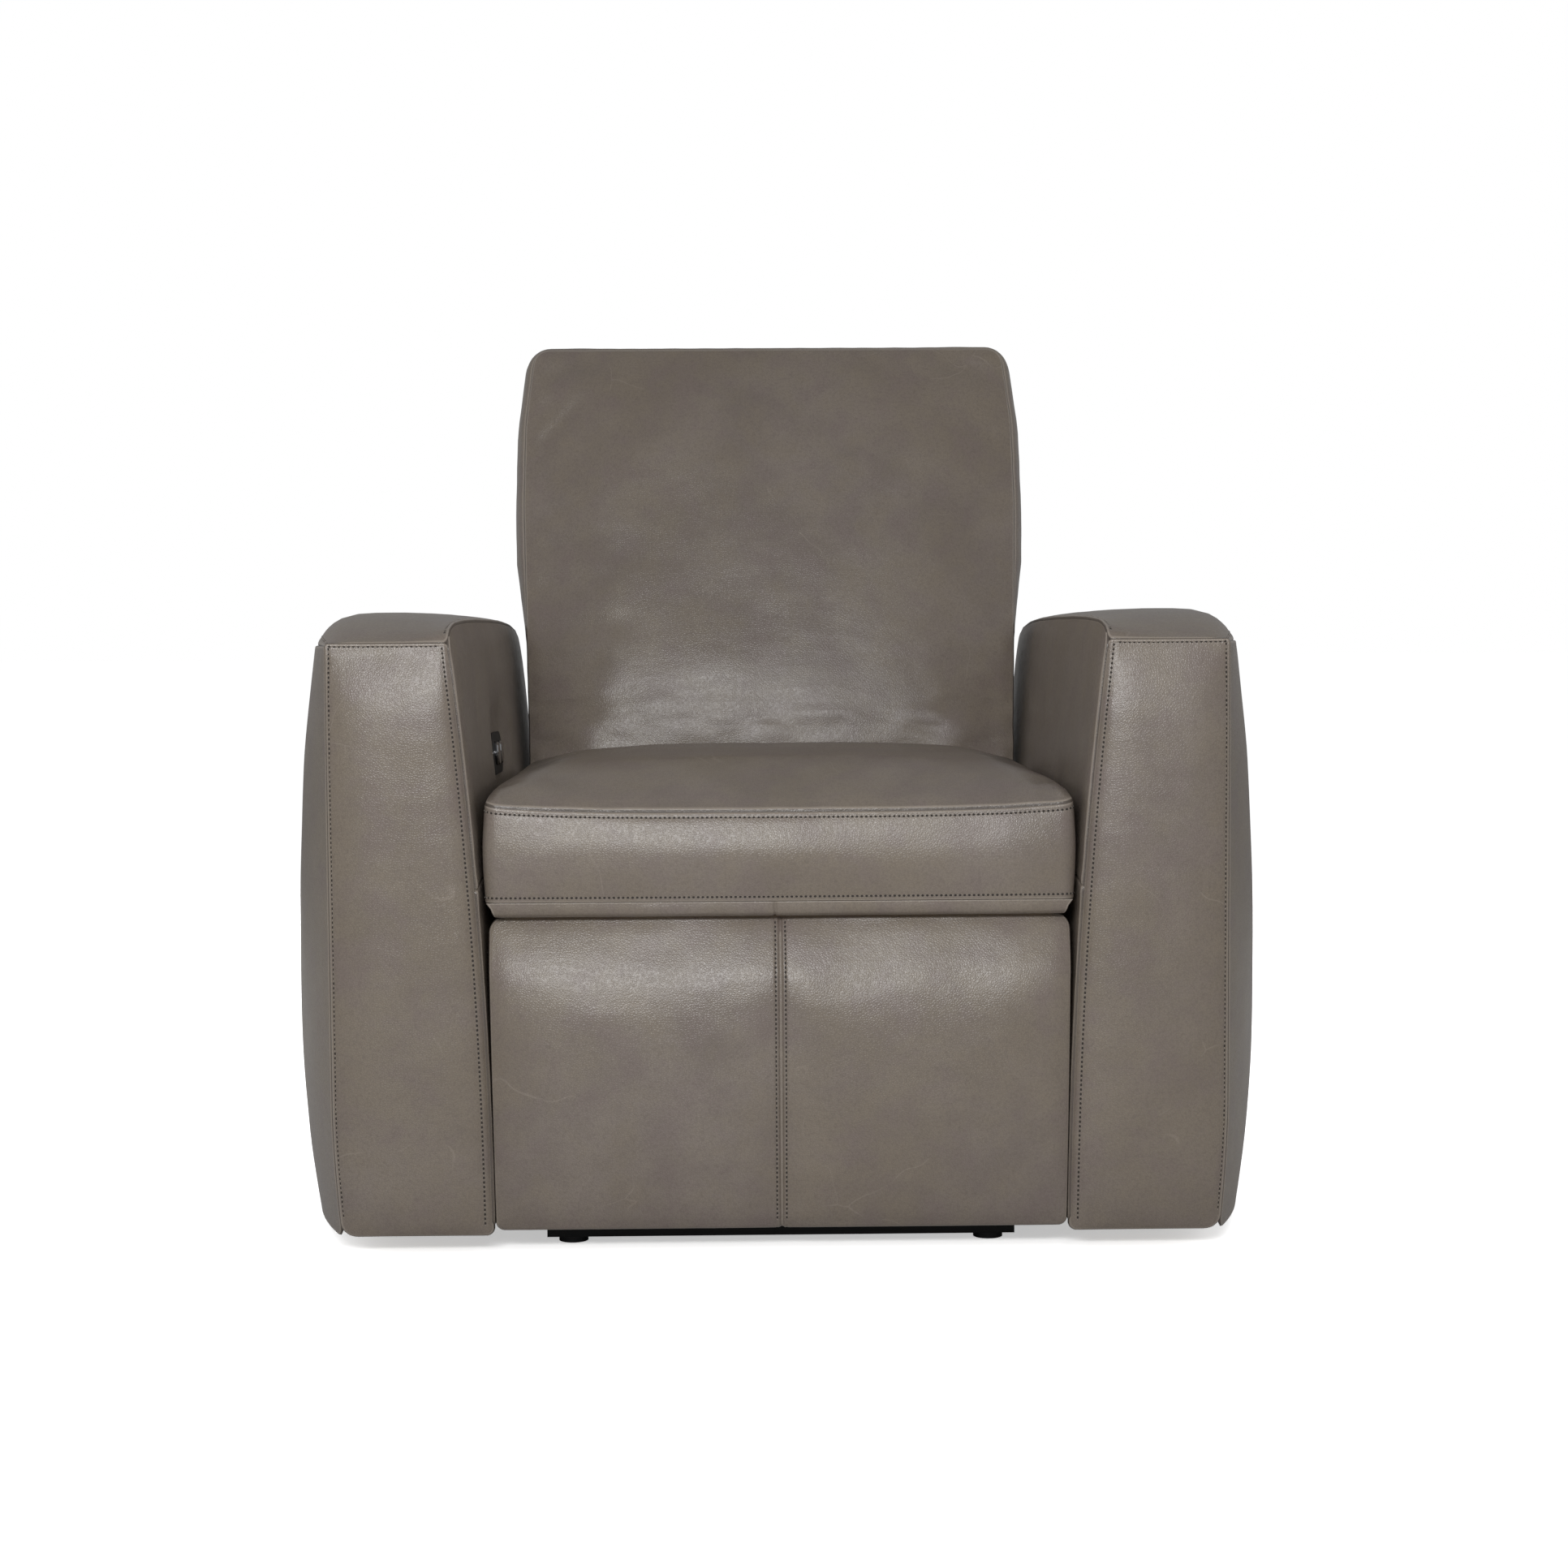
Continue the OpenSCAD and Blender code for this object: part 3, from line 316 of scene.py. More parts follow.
def ripple(u, v, size, seed):
    """Smooth random waves about size across, from -1 to 1."""
    table = np.random.default_rng(seed).uniform(-1, 1, (WAVES, WAVES))
    x, y = np.asarray(u) / size + 10 * WAVES, np.asarray(v) / size + 10 * WAVES
    i, j = np.floor(x).astype(int), np.floor(y).astype(int)
    a, b = x - i, y - j
    a, b = a * a * (3 - 2 * a), b * b * (3 - 2 * b)
    i, j = i % WAVES, j % WAVES
    k, m = (i + 1) % WAVES, (j + 1) % WAVES
    near, far = table[i, j] * (1 - a) + table[k, j] * a, table[i, m] * (1 - a) + table[k, m] * a
    return near * (1 - b) + far * b


def hump(x, power):
    """1 in the middle and 0 at -1 and 1, flatter on top with a higher power."""
    return 1 - np.abs(np.clip(x, -1, 1)) ** power


def dip(x, wide):
    """1 at 0 and nearly nothing at twice its width."""
    return np.exp(-(x / wide) ** 2)


def steps(length, pitch):
    """Places across a panel, close together by its two seams."""
    half = length / 2
    near = np.array([d for d in NEAR_SEAM if d < half * 0.7])
    inner = half - near[-1]
    middle = np.linspace(-inner, inner, max(2, round(2 * inner / pitch)) + 1)[1:-1]
    return np.concatenate([near - half, middle, (half - near)[::-1]])


def radius_at(u, v, corners):
    """Corner radius for each point: lower left, lower right, upper right, upper left."""
    return np.where(v < 0, np.where(u < 0, corners[0], corners[1]),
                    np.where(u < 0, corners[3], corners[2]))


def rounded(u, v, size, corners):
    """Moves a square grid's corners onto round ones."""
    r = radius_at(u, v, corners)
    a, b = size[0] / 2 - r, size[1] / 2 - r
    x, y = np.clip((np.abs(u) - a) / r, 0, 1), np.clip((np.abs(v) - b) / r, 0, 1)
    both = (x > 0) & (y > 0)
    x2, y2 = x * np.sqrt(1 - y * y / 2), y * np.sqrt(1 - x * x / 2)
    return (np.where(both, np.sign(u) * (a + r * x2), u),
            np.where(both, np.sign(v) * (b + r * y2), v))


def inset_of(u, v, size, corners):
    """Distance from a panel's outline, inward."""
    r = radius_at(u, v, corners)
    x, y = np.abs(u) - size[0] / 2 + r, np.abs(v) - size[1] / 2 + r
    return r - np.hypot(np.maximum(x, 0), np.maximum(y, 0)) - np.minimum(np.maximum(x, y), 0)


class Panel:
    """A stitched leather panel over padding.

    face(s, t) and back(s, t) give the points of its two sides for shares from -1 to 1. roll is the
    radius of its edge, shape(u, v, inset) its own relief, puff the height of its soft waves, and
    flip turns it over where face runs the other way round.
    """

    swell = None
    full = staticmethod(lambda u, v: 1.0)
    # A wall at seam closeness 1 takes the leather's dark gap colour, painted shade between panels; by
    # default every wall does.
    wall_seam = staticmethod(lambda q: 1.0)

    def __init__(self, size, face, back, corners, roll, shape, seed, puff, flip=False):
        self.size, self.face, self.back, self.corners = size, face, back, corners
        self.roll, self.shape, self.seed, self.puff = roll, shape, seed, puff
        self.turn = -1 if flip else 1

    def on(self, side, u, v):
        """Points of a side for places in millimetres from the panel's middle."""
        shares = 2 * u / self.size[0], 2 * v / self.size[1]
        return np.stack(np.broadcast_arrays(*side(*shares)), -1)

    def bare(self, u, v):
        place = self.on(self.face, u, v)
        return place if self.swell is None else place + self.swell(u, v)

    def normal(self, u, v):
        step = 0.6
        n = np.cross(self.bare(u + step, v) - self.bare(u - step, v),
                     self.bare(u, v + step) - self.bare(u, v - step))
        return self.turn * n / np.maximum(np.linalg.norm(n, axis=-1, keepdims=True), 1e-9)

    def height(self, u, v):
        """How far the leather stands over the bare face: its rolled edge, soft waves and puckers."""
        d = np.maximum(inset_of(u, v, self.size, self.corners), 0)
        edge = np.maximum(self.roll - d, 0)
        h = -(self.roll - np.sqrt(np.maximum(self.roll ** 2 - edge ** 2, 0)))
        waves = ripple(u, v, 96, self.seed) + 0.5 * ripple(u, v, 47, self.seed + 1)
        h = h + self.puff * (1 - np.exp(-d / 26)) * waves
        by_seam = 0.32 * np.exp(-d / 9) * (1 - np.exp(-d / 2))
        h = h + by_seam * ripple(u, v, 8.5, self.seed + 2)
        return h + self.shape(u, v, d) if self.shape else h

    def surface(self, u, v):
        n = self.normal(u, v)
        return self.bare(u, v) + n * self.height(u, v)[..., None], n

    def seam(self, u, v):
        return dip(np.maximum(inset_of(u, v, self.size, self.corners), 0), SEAM_WIDE)

    def mesh(self, pitch, rings=((0.12, 0.0), (0.4, 0.0), (1.0, 0.0)), extra_u=(), extra_v=()):
        """Points, faces and seam closeness of the closed panel.

        rings go round its wall, each a share of the way to the back and a bulge.
        """
        us = np.unique(np.concatenate([steps(self.size[0], pitch), extra_u]))
        vs = np.unique(np.concatenate([steps(self.size[1], pitch), extra_v]))
        u, v = rounded(*np.meshgrid(us, vs), self.size, self.corners)
        points, _ = self.surface(u, v)
        rows, cols = u.shape
        number = np.arange(rows * cols).reshape(rows, cols)
        rim = np.concatenate([number[0, :-1], number[:-1, -1], number[-1, :0:-1], number[:0:-1, 0]])
        ru, rv = u.ravel()[rim], v.ravel()[rim]
        top = points.reshape(-1, 3)
        edge = top[rim]
        low = self.on(self.back, ru, rv)
        along = np.roll(edge, -1, 0) - np.roll(edge, 1, 0)
        i, j = rows // 2, cols // 2
        facing = np.cross(points[i, j + 1] - points[i, j - 1], points[i + 1, j] - points[i - 1, j])
        out = np.cross(along, self.turn * facing)
        out /= np.maximum(np.linalg.norm(out, axis=1, keepdims=True), 1e-9)
        out *= np.sign(np.sum(out * (edge - edge.mean(0)), 1).mean())
        full = np.broadcast_to(self.full(ru, rv), ru.shape)[:, None]
        layers = [edge + (low - edge) * q + out * bulge * full for q, bulge in rings]
        self.out, self.layers = out, layers
        everything = np.concatenate([top, *layers, layers[-1].mean(0)[None]])
        a, b, c, d = number[:-1, :-1], number[:-1, 1:], number[1:, 1:], number[1:, :-1]
        quads = np.stack([a, b, c, d], -1).reshape(-1, 4)
        count, first = len(rim), rows * cols
        loops = [rim] + [first + k * count + np.arange(count) for k in range(len(layers))]
        faces = quads.tolist()
        for near, far in zip(loops, loops[1:]):
            faces += np.stack([near, far, np.roll(far, -1), np.roll(near, -1)], -1).tolist()
        centre = len(everything) - 1
        faces += [[int(k), centre, int(m)] for k, m in zip(loops[-1], np.roll(loops[-1], -1))]
        if self.turn < 0:
            faces = [f[::-1] for f in faces]
        # Seam closeness per point, which the leather turns into painted shade in seam gaps and on
        # walls, and a painted highlight beside each seam.
        seam = np.concatenate([self.seam(u, v).ravel(), np.full(count * len(layers) + 1, 1.0)])
        for k, (q, _) in enumerate(rings):
            seam[first + k * count:first + (k + 1) * count] = self.wall_seam(q)
        return everything, faces, seam

    def down(self, u, low, high, count):
        """A stitch line along v, as points and normals."""
        return self.surface(np.full(count, u), np.linspace(low, high, count))

    def across(self, v, low, high, count):
        """A stitch line along u."""
        return self.surface(np.linspace(low, high, count), np.full(count, v))


def between(table, x, y):
    """A table of places read smoothly between its rows and columns."""
    i, j = np.floor(x).astype(int), np.floor(y).astype(int)

    def shares(f):
        return (((2 - f) * f - 1) * f / 2, ((3 * f - 5) * f * f + 2) / 2,
                ((4 - 3 * f) * f + 1) * f / 2, (f - 1) * f * f / 2)

    found = 0
    for down, wy in zip(range(-1, 3), shares(y - j)):
        for along, wx in zip(range(-1, 3), shares(x - i)):
            row = np.clip(j + down, 0, len(table) - 1)
            column = np.clip(i + along, 0, len(table[0]) - 1)
            found = found + table[row, column] * (wx * wy)[..., None]
    return found


def fill(panel, pitch, most, calm=0):
    """Lets the filling push a panel's leather out as cloth that is held along its seams.

    A point moves by most millimetres at the farthest, and calm is how often the result is smoothed.
    """
    wide, tall = panel.size
    columns, rows = round(wide / pitch) + 1, round(tall / pitch) + 1
    u, v = np.meshgrid(np.linspace(-wide / 2, wide / 2, columns),
                       np.linspace(-tall / 2, tall / 2, rows))
    start = panel.bare(u, v).reshape(-1, 3)
    number = np.arange(rows * columns).reshape(rows, columns)
    quads = np.stack([number[:-1, :-1], number[:-1, 1:], number[1:, 1:], number[1:, :-1]], -1)
    quads = quads.reshape(-1, 4)[:, ::panel.turn]
    mesh = bpy.data.meshes.new("trial_cover")
    mesh.from_pydata((start * 0.001).tolist(), [], quads.tolist())
    trial = bpy.data.objects.new("trial_cover", mesh)
    bpy.context.scene.collection.objects.link(trial)
    sewn = np.concatenate([number[0], number[-1], number[:, 0], number[:, -1]])
    trial.vertex_groups.new(name="sewn").add(np.unique(sewn).tolist(), 1.0, "REPLACE")
    cloth = trial.modifiers.new("filling", "CLOTH")
    stiff = {"quality": 6, "mass": 0.4, "tension_stiffness": 20, "compression_stiffness": 20,
             "bending_stiffness": 2, "air_damping": 2, "vertex_group_mass": "sewn",
             "shrink_min": -SPARE, "use_pressure": True, "uniform_pressure_force": PRESSURE}
    for word, value in stiff.items():
        setattr(cloth.settings, word, value)
    cloth.settings.effector_weights.gravity = 0
    cloth.point_cache.frame_end = FRAMES
    for moment in range(1, FRAMES + 1):
        bpy.context.scene.frame_set(moment)
    filled = trial.evaluated_get(bpy.context.evaluated_depsgraph_get()).to_mesh()
    end = np.empty(rows * columns * 3)
    filled.vertices.foreach_get("co", end)
    moved = end.reshape(-1, 3) * 1000 - start
    far = np.linalg.norm(moved, axis=1, keepdims=True)
    moved = (moved * np.minimum(1, most / np.maximum(far, 1e-6))).reshape(rows, columns, 3)
    for _ in range(calm):
        moved[1:-1, 1:-1] = (moved[1:-1, 1:-1] * 2 + moved[:-2, 1:-1] + moved[2:, 1:-1]
                             + moved[1:-1, :-2] + moved[1:-1, 2:]) / 6
    bpy.data.objects.remove(trial)
    bpy.context.scene.frame_set(1)
    panel.swell = lambda u, v: between(moved, (u / wide + 0.5) * (columns - 1),
                                       (v / tall + 0.5) * (rows - 1))


# Along a stitch: share of its length, share of its thickness, lift of its middle
STATIONS = ((-0.5, 0.15, -0.42), (-0.32, 0.85, 0.0), (0.0, 1.0, 0.12), (0.32, 0.85, 0.0),
            (0.5, 0.15, -0.42))
ROUND = [(math.cos(a), math.sin(a)) for a in np.arange(6) * math.pi / 3]


def stitching(name, body, lines):
    """Thread along lines of points and normals: a rounded stitch for each step, and a flat dark disc of
    painted shade at its stitch hole.
    """
    points, faces, kinds = [], [], []
    sides, bands = len(ROUND), len(STATIONS) - 1
    for path, normals in lines:
        gone = np.concatenate([[0], np.cumsum(np.linalg.norm(np.diff(path, axis=0), axis=1))])
        count = max(1, int(gone[-1] / STITCH))

        def reading(table, at):
            return np.array([np.interp(at, gone, table[:, k]) for k in range(3)])

        for at in (np.arange(count) + 0.5) * gone[-1] / count:
            middle, n = reading(path, at), reading(normals, at)
            ahead = reading(path, at + 1) - reading(path, at - 1)
            ahead /= np.linalg.norm(ahead)
            n /= np.linalg.norm(n)
            side = np.cross(n, ahead)
            base = len(points)
            for x, wide, lift in STATIONS:
                for c, s in ROUND:
                    points.append(middle + ahead * x * STITCH_LONG + side * c * 0.55 * wide
                                  + n * (s * 0.45 * wide + lift + 0.2))
            for k in range(bands):
                for j in range(sides):
                    a, b = base + k * sides + j, base + k * sides + (j + 1) % sides
                    faces.append((a, b, b + sides, a + sides))
            faces += [tuple(base + j for j in range(sides - 1, -1, -1)),
                      tuple(base + bands * sides + j for j in range(sides))]
            kinds += [0] * (bands * sides + 2)
            base = len(points)
            # The hole is a flat dark disc lying on the leather: painted shade.
            hole = middle + ahead * STITCH / 2
            points += [hole + (ahead * c * 1.5 + side * s * 1.2) + n * 0.3 for c, s in ROUND]
            faces.append(tuple(range(base, base + sides)))
            kinds.append(1)
    mesh_piece(name, points, faces, [THREAD, HOLE_SHADE], body, kinds=kinds)


def cover(name, shape, body, node, finish=LEATHER):
    """A padded piece, from its points, faces and seam closeness, that stands for a solid."""
    points, faces, seam = shape
    piece = mesh_piece(name, points, faces, [finish], body, seam)
    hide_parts(node)


def both_arms(name, panel, node, lines, pitch=13, left=None, **how):
    """A panel of the right arm and its mirror on the left, or another one there, with stitching."""
    for side, hand in ((1, "right"), (-1, "left")):
        points, faces, seam = (left if left and side < 0 else panel).mesh(pitch, **how)
        if side < 0:
            points, faces = points * [-1, 1, 1], [f[::-1] for f in faces]
        cover(f"{name}_{hand}", (points, faces, seam), "base", f"{node}_{hand}")
        if lines:
            stitching(f"{name}_stitching_{hand}", "base",
                      [(line * [side, 1, 1], n * [side, 1, 1]) for line, n in lines])


# Arms

def up_the_arm(z):
    """Share of the way up an arm's inner face."""
    return (z - INNER_LOW) / INNER_RISE


def face_x(z):
    """Where an arm's inner face stands. It spreads outward as it rises."""
    t = up_the_arm(z)
    return INNER_X + 38 * (0.12 * t + 0.88 * t * t)


def toe_in(y, z):
    """How far the upper rear of an arm's inner face leans over the seat."""
    return 4 * np.clip((y + 300) / 500, 0, 1) * np.clip((z - 400) / 211, 0, 1)


def outer_x(z):
    """The front and rear seams of an arm's outer side, drawn in near the floor."""
    return SEAM_X - 8 * np.clip((150 - z) / 128, 0, 1) ** 1.6


DEPTHS = (0, 8, 20, 45, 75, 165, 271, 420, 562, 660, 730, 771)
INNER_TOP = (611, 619, 624.5, 628.5, 631, 633.5, 634.8, 634.8, 633.5, 630, 624, 613)


def inner_top(y):
    """Height of the seam along the top of an arm's inner face."""
    return np.interp(y - RIM_Y, DEPTHS, INNER_TOP)


ARM_DEEP = ARM_REAR - 4 - RIM_Y
FRAME_FRONT, FRAME_REAR, FRAME_LOW, FRAME_TOP = FRONT + 25, ARM_REAR - 25, 40.0, 591.0
FRAME_DEEP, FRAME_MIDDLE = FRAME_REAR - FRAME_FRONT, (FRAME_FRONT + FRAME_REAR) / 2
TALL, SIDE_TOP = SEAM_Z - ARM_LOW, 608.5
HALF_END, HALF_TOP = 70, 65  # half the width of an arm's end panels and of its top panel


def frame_x(z):
    """The inner board of an arm's frame, which the padding lies on."""
    return 305.3 + 37.7 * (z - FRAME_LOW) / (FRAME_TOP - FRAME_LOW)


def frame_z(t):
    return FRAME_LOW + (FRAME_TOP - FRAME_LOW) * (t + 1) / 2


def frame_y(s):
    return FRAME_MIDDLE + s * FRAME_DEEP / 2


def arm_y(s):
    return RIM_Y + ARM_DEEP * (s + 1) / 2


def arm_end(y_rim, y_crown, y_back, flip):
    """The front or rear panel of an arm: its rim, its crown and the board behind it."""
    def face(s, t):
        z = ARM_LOW + TALL * (t + 1) / 2
        a, b = face_x(z), outer_x(z)
        return (a + b) / 2 + s * (b - a) / 2, y_rim + (y_crown - y_rim) * hump(s, 4) * hump(t, 9), z

    def back(s, t):
        z = frame_z(t)
        a, b = frame_x(z), 429.7
        return (a + b) / 2 + s * (b - a) / 2, y_back, z

    def band(u, v, d):
        outer, inner, top = HALF_END - u, HALF_END + u, TALL / 2 - v
        rounded_over = -3.6 * np.clip(1 - inner / 9, 0, 1) ** 2
        sewn = 0.55 * dip(outer - 4.6, 0.9) + 0.6 * dip(inner - 8.6, 1.0) + 0.5 * dip(top - 3.4, 0.9)
        fall = 7 * np.exp(-(np.maximum(top, 0) / 46) ** 1.3)
        return rounded_over - sewn + (3.4 - fall) * hump(u / HALF_END, 4) * hump(v / (TALL / 2), 30)

    return Panel((2 * HALF_END, TALL), face, back, (8, 15, 4, 7), 2.6, band, 11, 0.55, flip)


arm_front = arm_end(RIM_Y - 1, FRONT, FRAME_FRONT - 0.3, False)
both_arms("arm_front", arm_front, "arm_front_pad", [
    arm_front.down(-61.4, -TALL / 2 + 9, TALL / 2 - 6, 90),
    arm_front.down(65.4, -TALL / 2 + 18, TALL / 2 - 6, 90),
    arm_front.across(TALL / 2 - 3.4, -60, 64, 40)])
arm_rear = arm_end(ARM_REAR - 5, ARM_REAR, FRAME_REAR + 0.3, True)
both_arms("arm_rear", arm_rear, "arm_rear_panel", [
    arm_rear.down(-64.8, -TALL / 2 + 9, TALL / 2 - 6, 90),
    arm_rear.down(64.8, -TALL / 2 + 18, TALL / 2 - 6, 90)])


def side_bulge(z):
    """How far an arm's outer side stands out of its seams, halfway along the arm."""
    over, under = np.clip((z - 290) / 330, 0, 1), np.clip((290 - z) / 265, 0, 1)
    return 67.5 * (1 - 0.45 * over ** 2.2 - 0.3 * under ** 2.85)


def side_face(s, t):
    z = ARM_LOW + (SIDE_TOP - ARM_LOW) * (t + 1) / 2
    out = hump(s, 3.2)
    return outer_x(z) * (1 - out) + (SEAM_X + side_bulge(z)) * out, arm_y(s), z


def side_back(s, t):
    return 430.3, frame_y(s), frame_z(t)


arm_side = Panel((ARM_DEEP, SIDE_TOP - ARM_LOW), side_face, side_back, (12, 12, 3, 3), 2.2, None, 21,
                 0.9)
both_arms("arm_side", arm_side, "arm_outer_pad", [], 15)


def top_face(s, t):
    y = arm_y(t)
    a, b = face_x(SEAM_Z) + 1 - toe_in(y, SEAM_Z), SEAM_X + side_bulge(SIDE_TOP) * hump(t, 3)
    inner = inner_top(y)
    crown = SEAM_Z + 31.5 * hump(t, 5)
    over = np.maximum(s, 0)
    ridge = np.where(s < 0, crown - (crown - inner) * np.abs(s) ** 2.2,
                     crown - (crown - SIDE_TOP) * over ** 5)
    return (a + b) / 2 + s * (b - a) / 2, y, ridge


def top_back(s, t):
    a, b = frame_x(FRAME_TOP) + 2, 428.0
    return (a + b) / 2 + s * (b - a) / 2, frame_y(t), FRAME_TOP + 0.3


def top_band(u, v, d):
    return -0.55 * dip(u + HALF_TOP - 4.8, 0.9) - 0.55 * dip(HALF_TOP - u - 4.8, 0.9)


arm_top = Panel((2 * HALF_TOP, ARM_DEEP), top_face, top_back, (6, 6, 6, 6), 2.6, top_band, 31, 0.4)
both_arms("arm_top", arm_top, "arm_top_pad", [
    arm_top.down(u, -ARM_DEEP / 2 + 5, ARM_DEEP / 2 - 5, 110) for u in (-60.2, 60.2)])


def under_switch(z):
    """The face that the switch plate is screwed down to."""
    t = up_the_arm(z)
    return INNER_X + 40 * (0.54 * t + 0.46 * t * t)


def inner_face(s, t):
    y = arm_y(s)
    top = inner_top(y) - 1
    z = INNER_LOW + (top - INNER_LOW) * (t + 1) / 2
    full = np.minimum(5, 0.016 * (face_x(z) - INNER_X) ** 2)
    edge = ((1 - np.exp(-(y - RIM_Y) / 11)) * (1 - np.exp((y - ARM_REAR) / 20))
            * (1 - np.exp((z - top) / 16)))
    return face_x(z) - toe_in(y, z) - full * edge, y, z


def inner_face_at_switch(s, t):
    """The inner face of the arm that the switch pulls in round itself."""
    x, y, z = inner_face(s, t)
    away = np.hypot(np.maximum(np.abs(y - SWITCH_Y) - 34, 0), z - SWITCH_Z)
    pulled = dip(np.maximum(away - 25, 0), 30)
    return x * (1 - pulled) + under_switch(z) * pulled, y, z


def inner_back(s, t):
    return frame_x(frame_z(t)) - 0.3, frame_y(s), frame_z(t)


INNER_TALL = 590.0
INNER_SEAM = 372 - INNER_LOW - INNER_TALL / 2  # a level seam that meets the top of the seat border


def inner_band(u, v, d):
    return -1.5 * dip(v - INNER_SEAM, 1.3) + 0.5 * dip(np.abs(v - INNER_SEAM) - 7, 6)


arm_inner, arm_inner_left = [
    Panel((ARM_DEEP, INNER_TALL), face, inner_back, (7, 7, 8, 8), 2.8, inner_band, 41, 0.6, True)
    for face in (inner_face, inner_face_at_switch)]
both_arms("arm_inner", arm_inner, "arm_inner_pad", [], 14, arm_inner_left,
          extra_v=INNER_SEAM + np.array([-6, -4, -2.6, -1.8, -1, 0, 1, 1.8, 2.6, 4, 6]))


# Seat

SEAT_Y, SEAT_HALF_WIDE, SEAT_HALF_DEEP = -183, 291, 251
SEAT_SIZE = 2 * SEAT_HALF_WIDE, 2 * SEAT_HALF_DEEP
SEAT_CROWN, SEAT_BORDER = 483, 92  # height of its crown, and of the sewn border alone


def seat_top(s, t):
    deep = SEAT_HALF_DEEP * (t + 1)
    seam_z = 445 + 7 * np.abs(s) ** 4 + 8 * (1 - np.exp(-deep / 45)) * np.abs(s) ** 3
    sides = 0.5 * hump(s, 22) + 0.5 * hump(s, 2.8)
    ends = (1 - np.exp(-deep / 46)) * (1 - 0.45 * np.clip((t - 0.5) / 0.5, 0, 1) ** 2)
    return (s * SEAT_HALF_WIDE, SEAT_Y + t * SEAT_HALF_DEEP,
            seam_z + (SEAT_CROWN - seam_z) * sides * ends)


def seat_under(s, t):
    return s * SEAT_HALF_WIDE, SEAT_Y + t * SEAT_HALF_DEEP, 354.0 + 0 * s


def quilt(u, v, d):
    """The soft roll just inside a cushion's seam."""
    return 0.9 * np.exp(-((d - 16) / 11) ** 2)


seat = Panel(SEAT_SIZE, seat_top, seat_under, (13, 13, 18, 18), 3.0, quilt, 51, 1.0)
fill(seat, 12, 12)
SEAT_RINGS = (
    (0.004, 0.1), (0.011, 0.8), (0.022, 1.3), (0.036, 1.6), (0.048, 1.5), (0.061, 1.9), (0.085, 2.7),
    (0.13, 3.7), (0.2, 4.9), (0.3, 6.6), (0.4, 7.8), (0.5, 8.1), (0.65, 7.0), (0.8, 4.6), (0.9, 2.6),
    (0.925, 2.1), (0.945, 1.5), (0.96, 1.6), (0.978, 1.4), (0.99, 1.0), (1.0, 0.4))


def seat_border_seam(q):
    """Closeness to the border's two seams and to the fold under the upper one. The seams become painted
    shade with a painted highlight beside them, and the fold a paler line of painted highlight.
    """
    return max(math.exp(-(q * SEAT_BORDER / 1.8) ** 2),
               math.exp(-((1 - q) * SEAT_BORDER / 1.6) ** 2),
               0.35 * math.exp(-((q - 0.061) * SEAT_BORDER) ** 2))


def seat_border_full(u, v):
    """The border is fuller in front, unevenly along it, than at the sides and the rear."""
    front = 0.35 + (0.7 + 0.2 * ripple(u, v, 62, 55)) * hump(u / 289, 5)
    return np.where(v < -240, front, 0.35)


seat.wall_seam, seat.full = seat_border_seam, seat_border_full
cover("seat_cushion_cover", seat.mesh(12, rings=SEAT_RINGS), "carriage", "seat_cushion")

STITCHED_TO = 20  # the border is stitched from its front to this far back
UPPER_STITCHES, LOWER_STITCHES = 5, 16  # the rings that the stitches follow


def ring_line(panel, layer, lift=0.05):
    """A stitch line round a cushion's border, from one side over the front to the other."""
    ring, count = panel.layers[layer], len(panel.out)
    chosen = [k for k in range(count) if ring[k][1] < STITCHED_TO]
    start = next((k for k in chosen if (k - 1) % count not in chosen), 0)
    order = [(start + k) % count for k in range(count) if (start + k) % count in chosen]
    return ring[order] + panel.out[order] * lift, panel.out[order]


stitching("seat_cushion_stitching", "carriage", [
    ring_line(seat, UPPER_STITCHES), ring_line(seat, LOWER_STITCHES)])


def lip_face(s, t):
    """The border's roll under its lower seam: straight down, then under, and drawn in at its ends."""
    under = np.clip(-t - 0.1, 0, 1) / 0.9 * math.pi / 2
    drawn = np.abs(s) ** 14
    y = -435.4 + 7.4 * (1 - np.cos(under)) + 1.5 * drawn * (1 - t) / 2
    z = 354.4 - 6.6 * np.minimum(1 - t, 1.1) / 1.1 - 8.4 * np.sin(under)
    return s * (290 - 9 * drawn * np.clip(1 - t, 0, 2) / 2), y, z


def lip_back(s, t):
    return s * 285, -427 + 0 * s, 347.5 + 5 * t


def lip_band(u, v, d):
    """A short upright seam near the middle."""
    return -1.3 * dip(u + 5, 1.4)


lip = Panel((580, 22), lip_face, lip_back, (3, 3, 1, 1), 0.4, lip_band, 61, 0.15)
LIP_SEAM = (-8, -7, -6.2, -5.6, -5, -4.4, -3.8, -3, -2)
cover("seat_lip_roll", lip.mesh(9, extra_u=LIP_SEAM), "carriage", "seat_lip")


# Back, in its own leaning frame: v to the rear, w up along the back

def leaned(x, v, w):
    return (x, PIVOT[0] + v * math.cos(LEAN) + w * math.sin(LEAN),
            PIVOT[1] - v * math.sin(LEAN) + w * math.cos(LEAN))


WIDE_AT = (37, 160, 225, 300, 360, 485, 588, 638, 705)
WIDE = (288, 292, 294, 297, 299, 303, 302, 297, 289)


def back_half(w):
    return np.interp(w, WIDE_AT, WIDE)


BACK_LOW, BACK_TOP = 41.0, 688.0
BACK_BORDER = 130  # depth of the cushion's sewn border


def back_w(t):
    return BACK_LOW + (BACK_TOP - BACK_LOW) * (t + 1) / 2


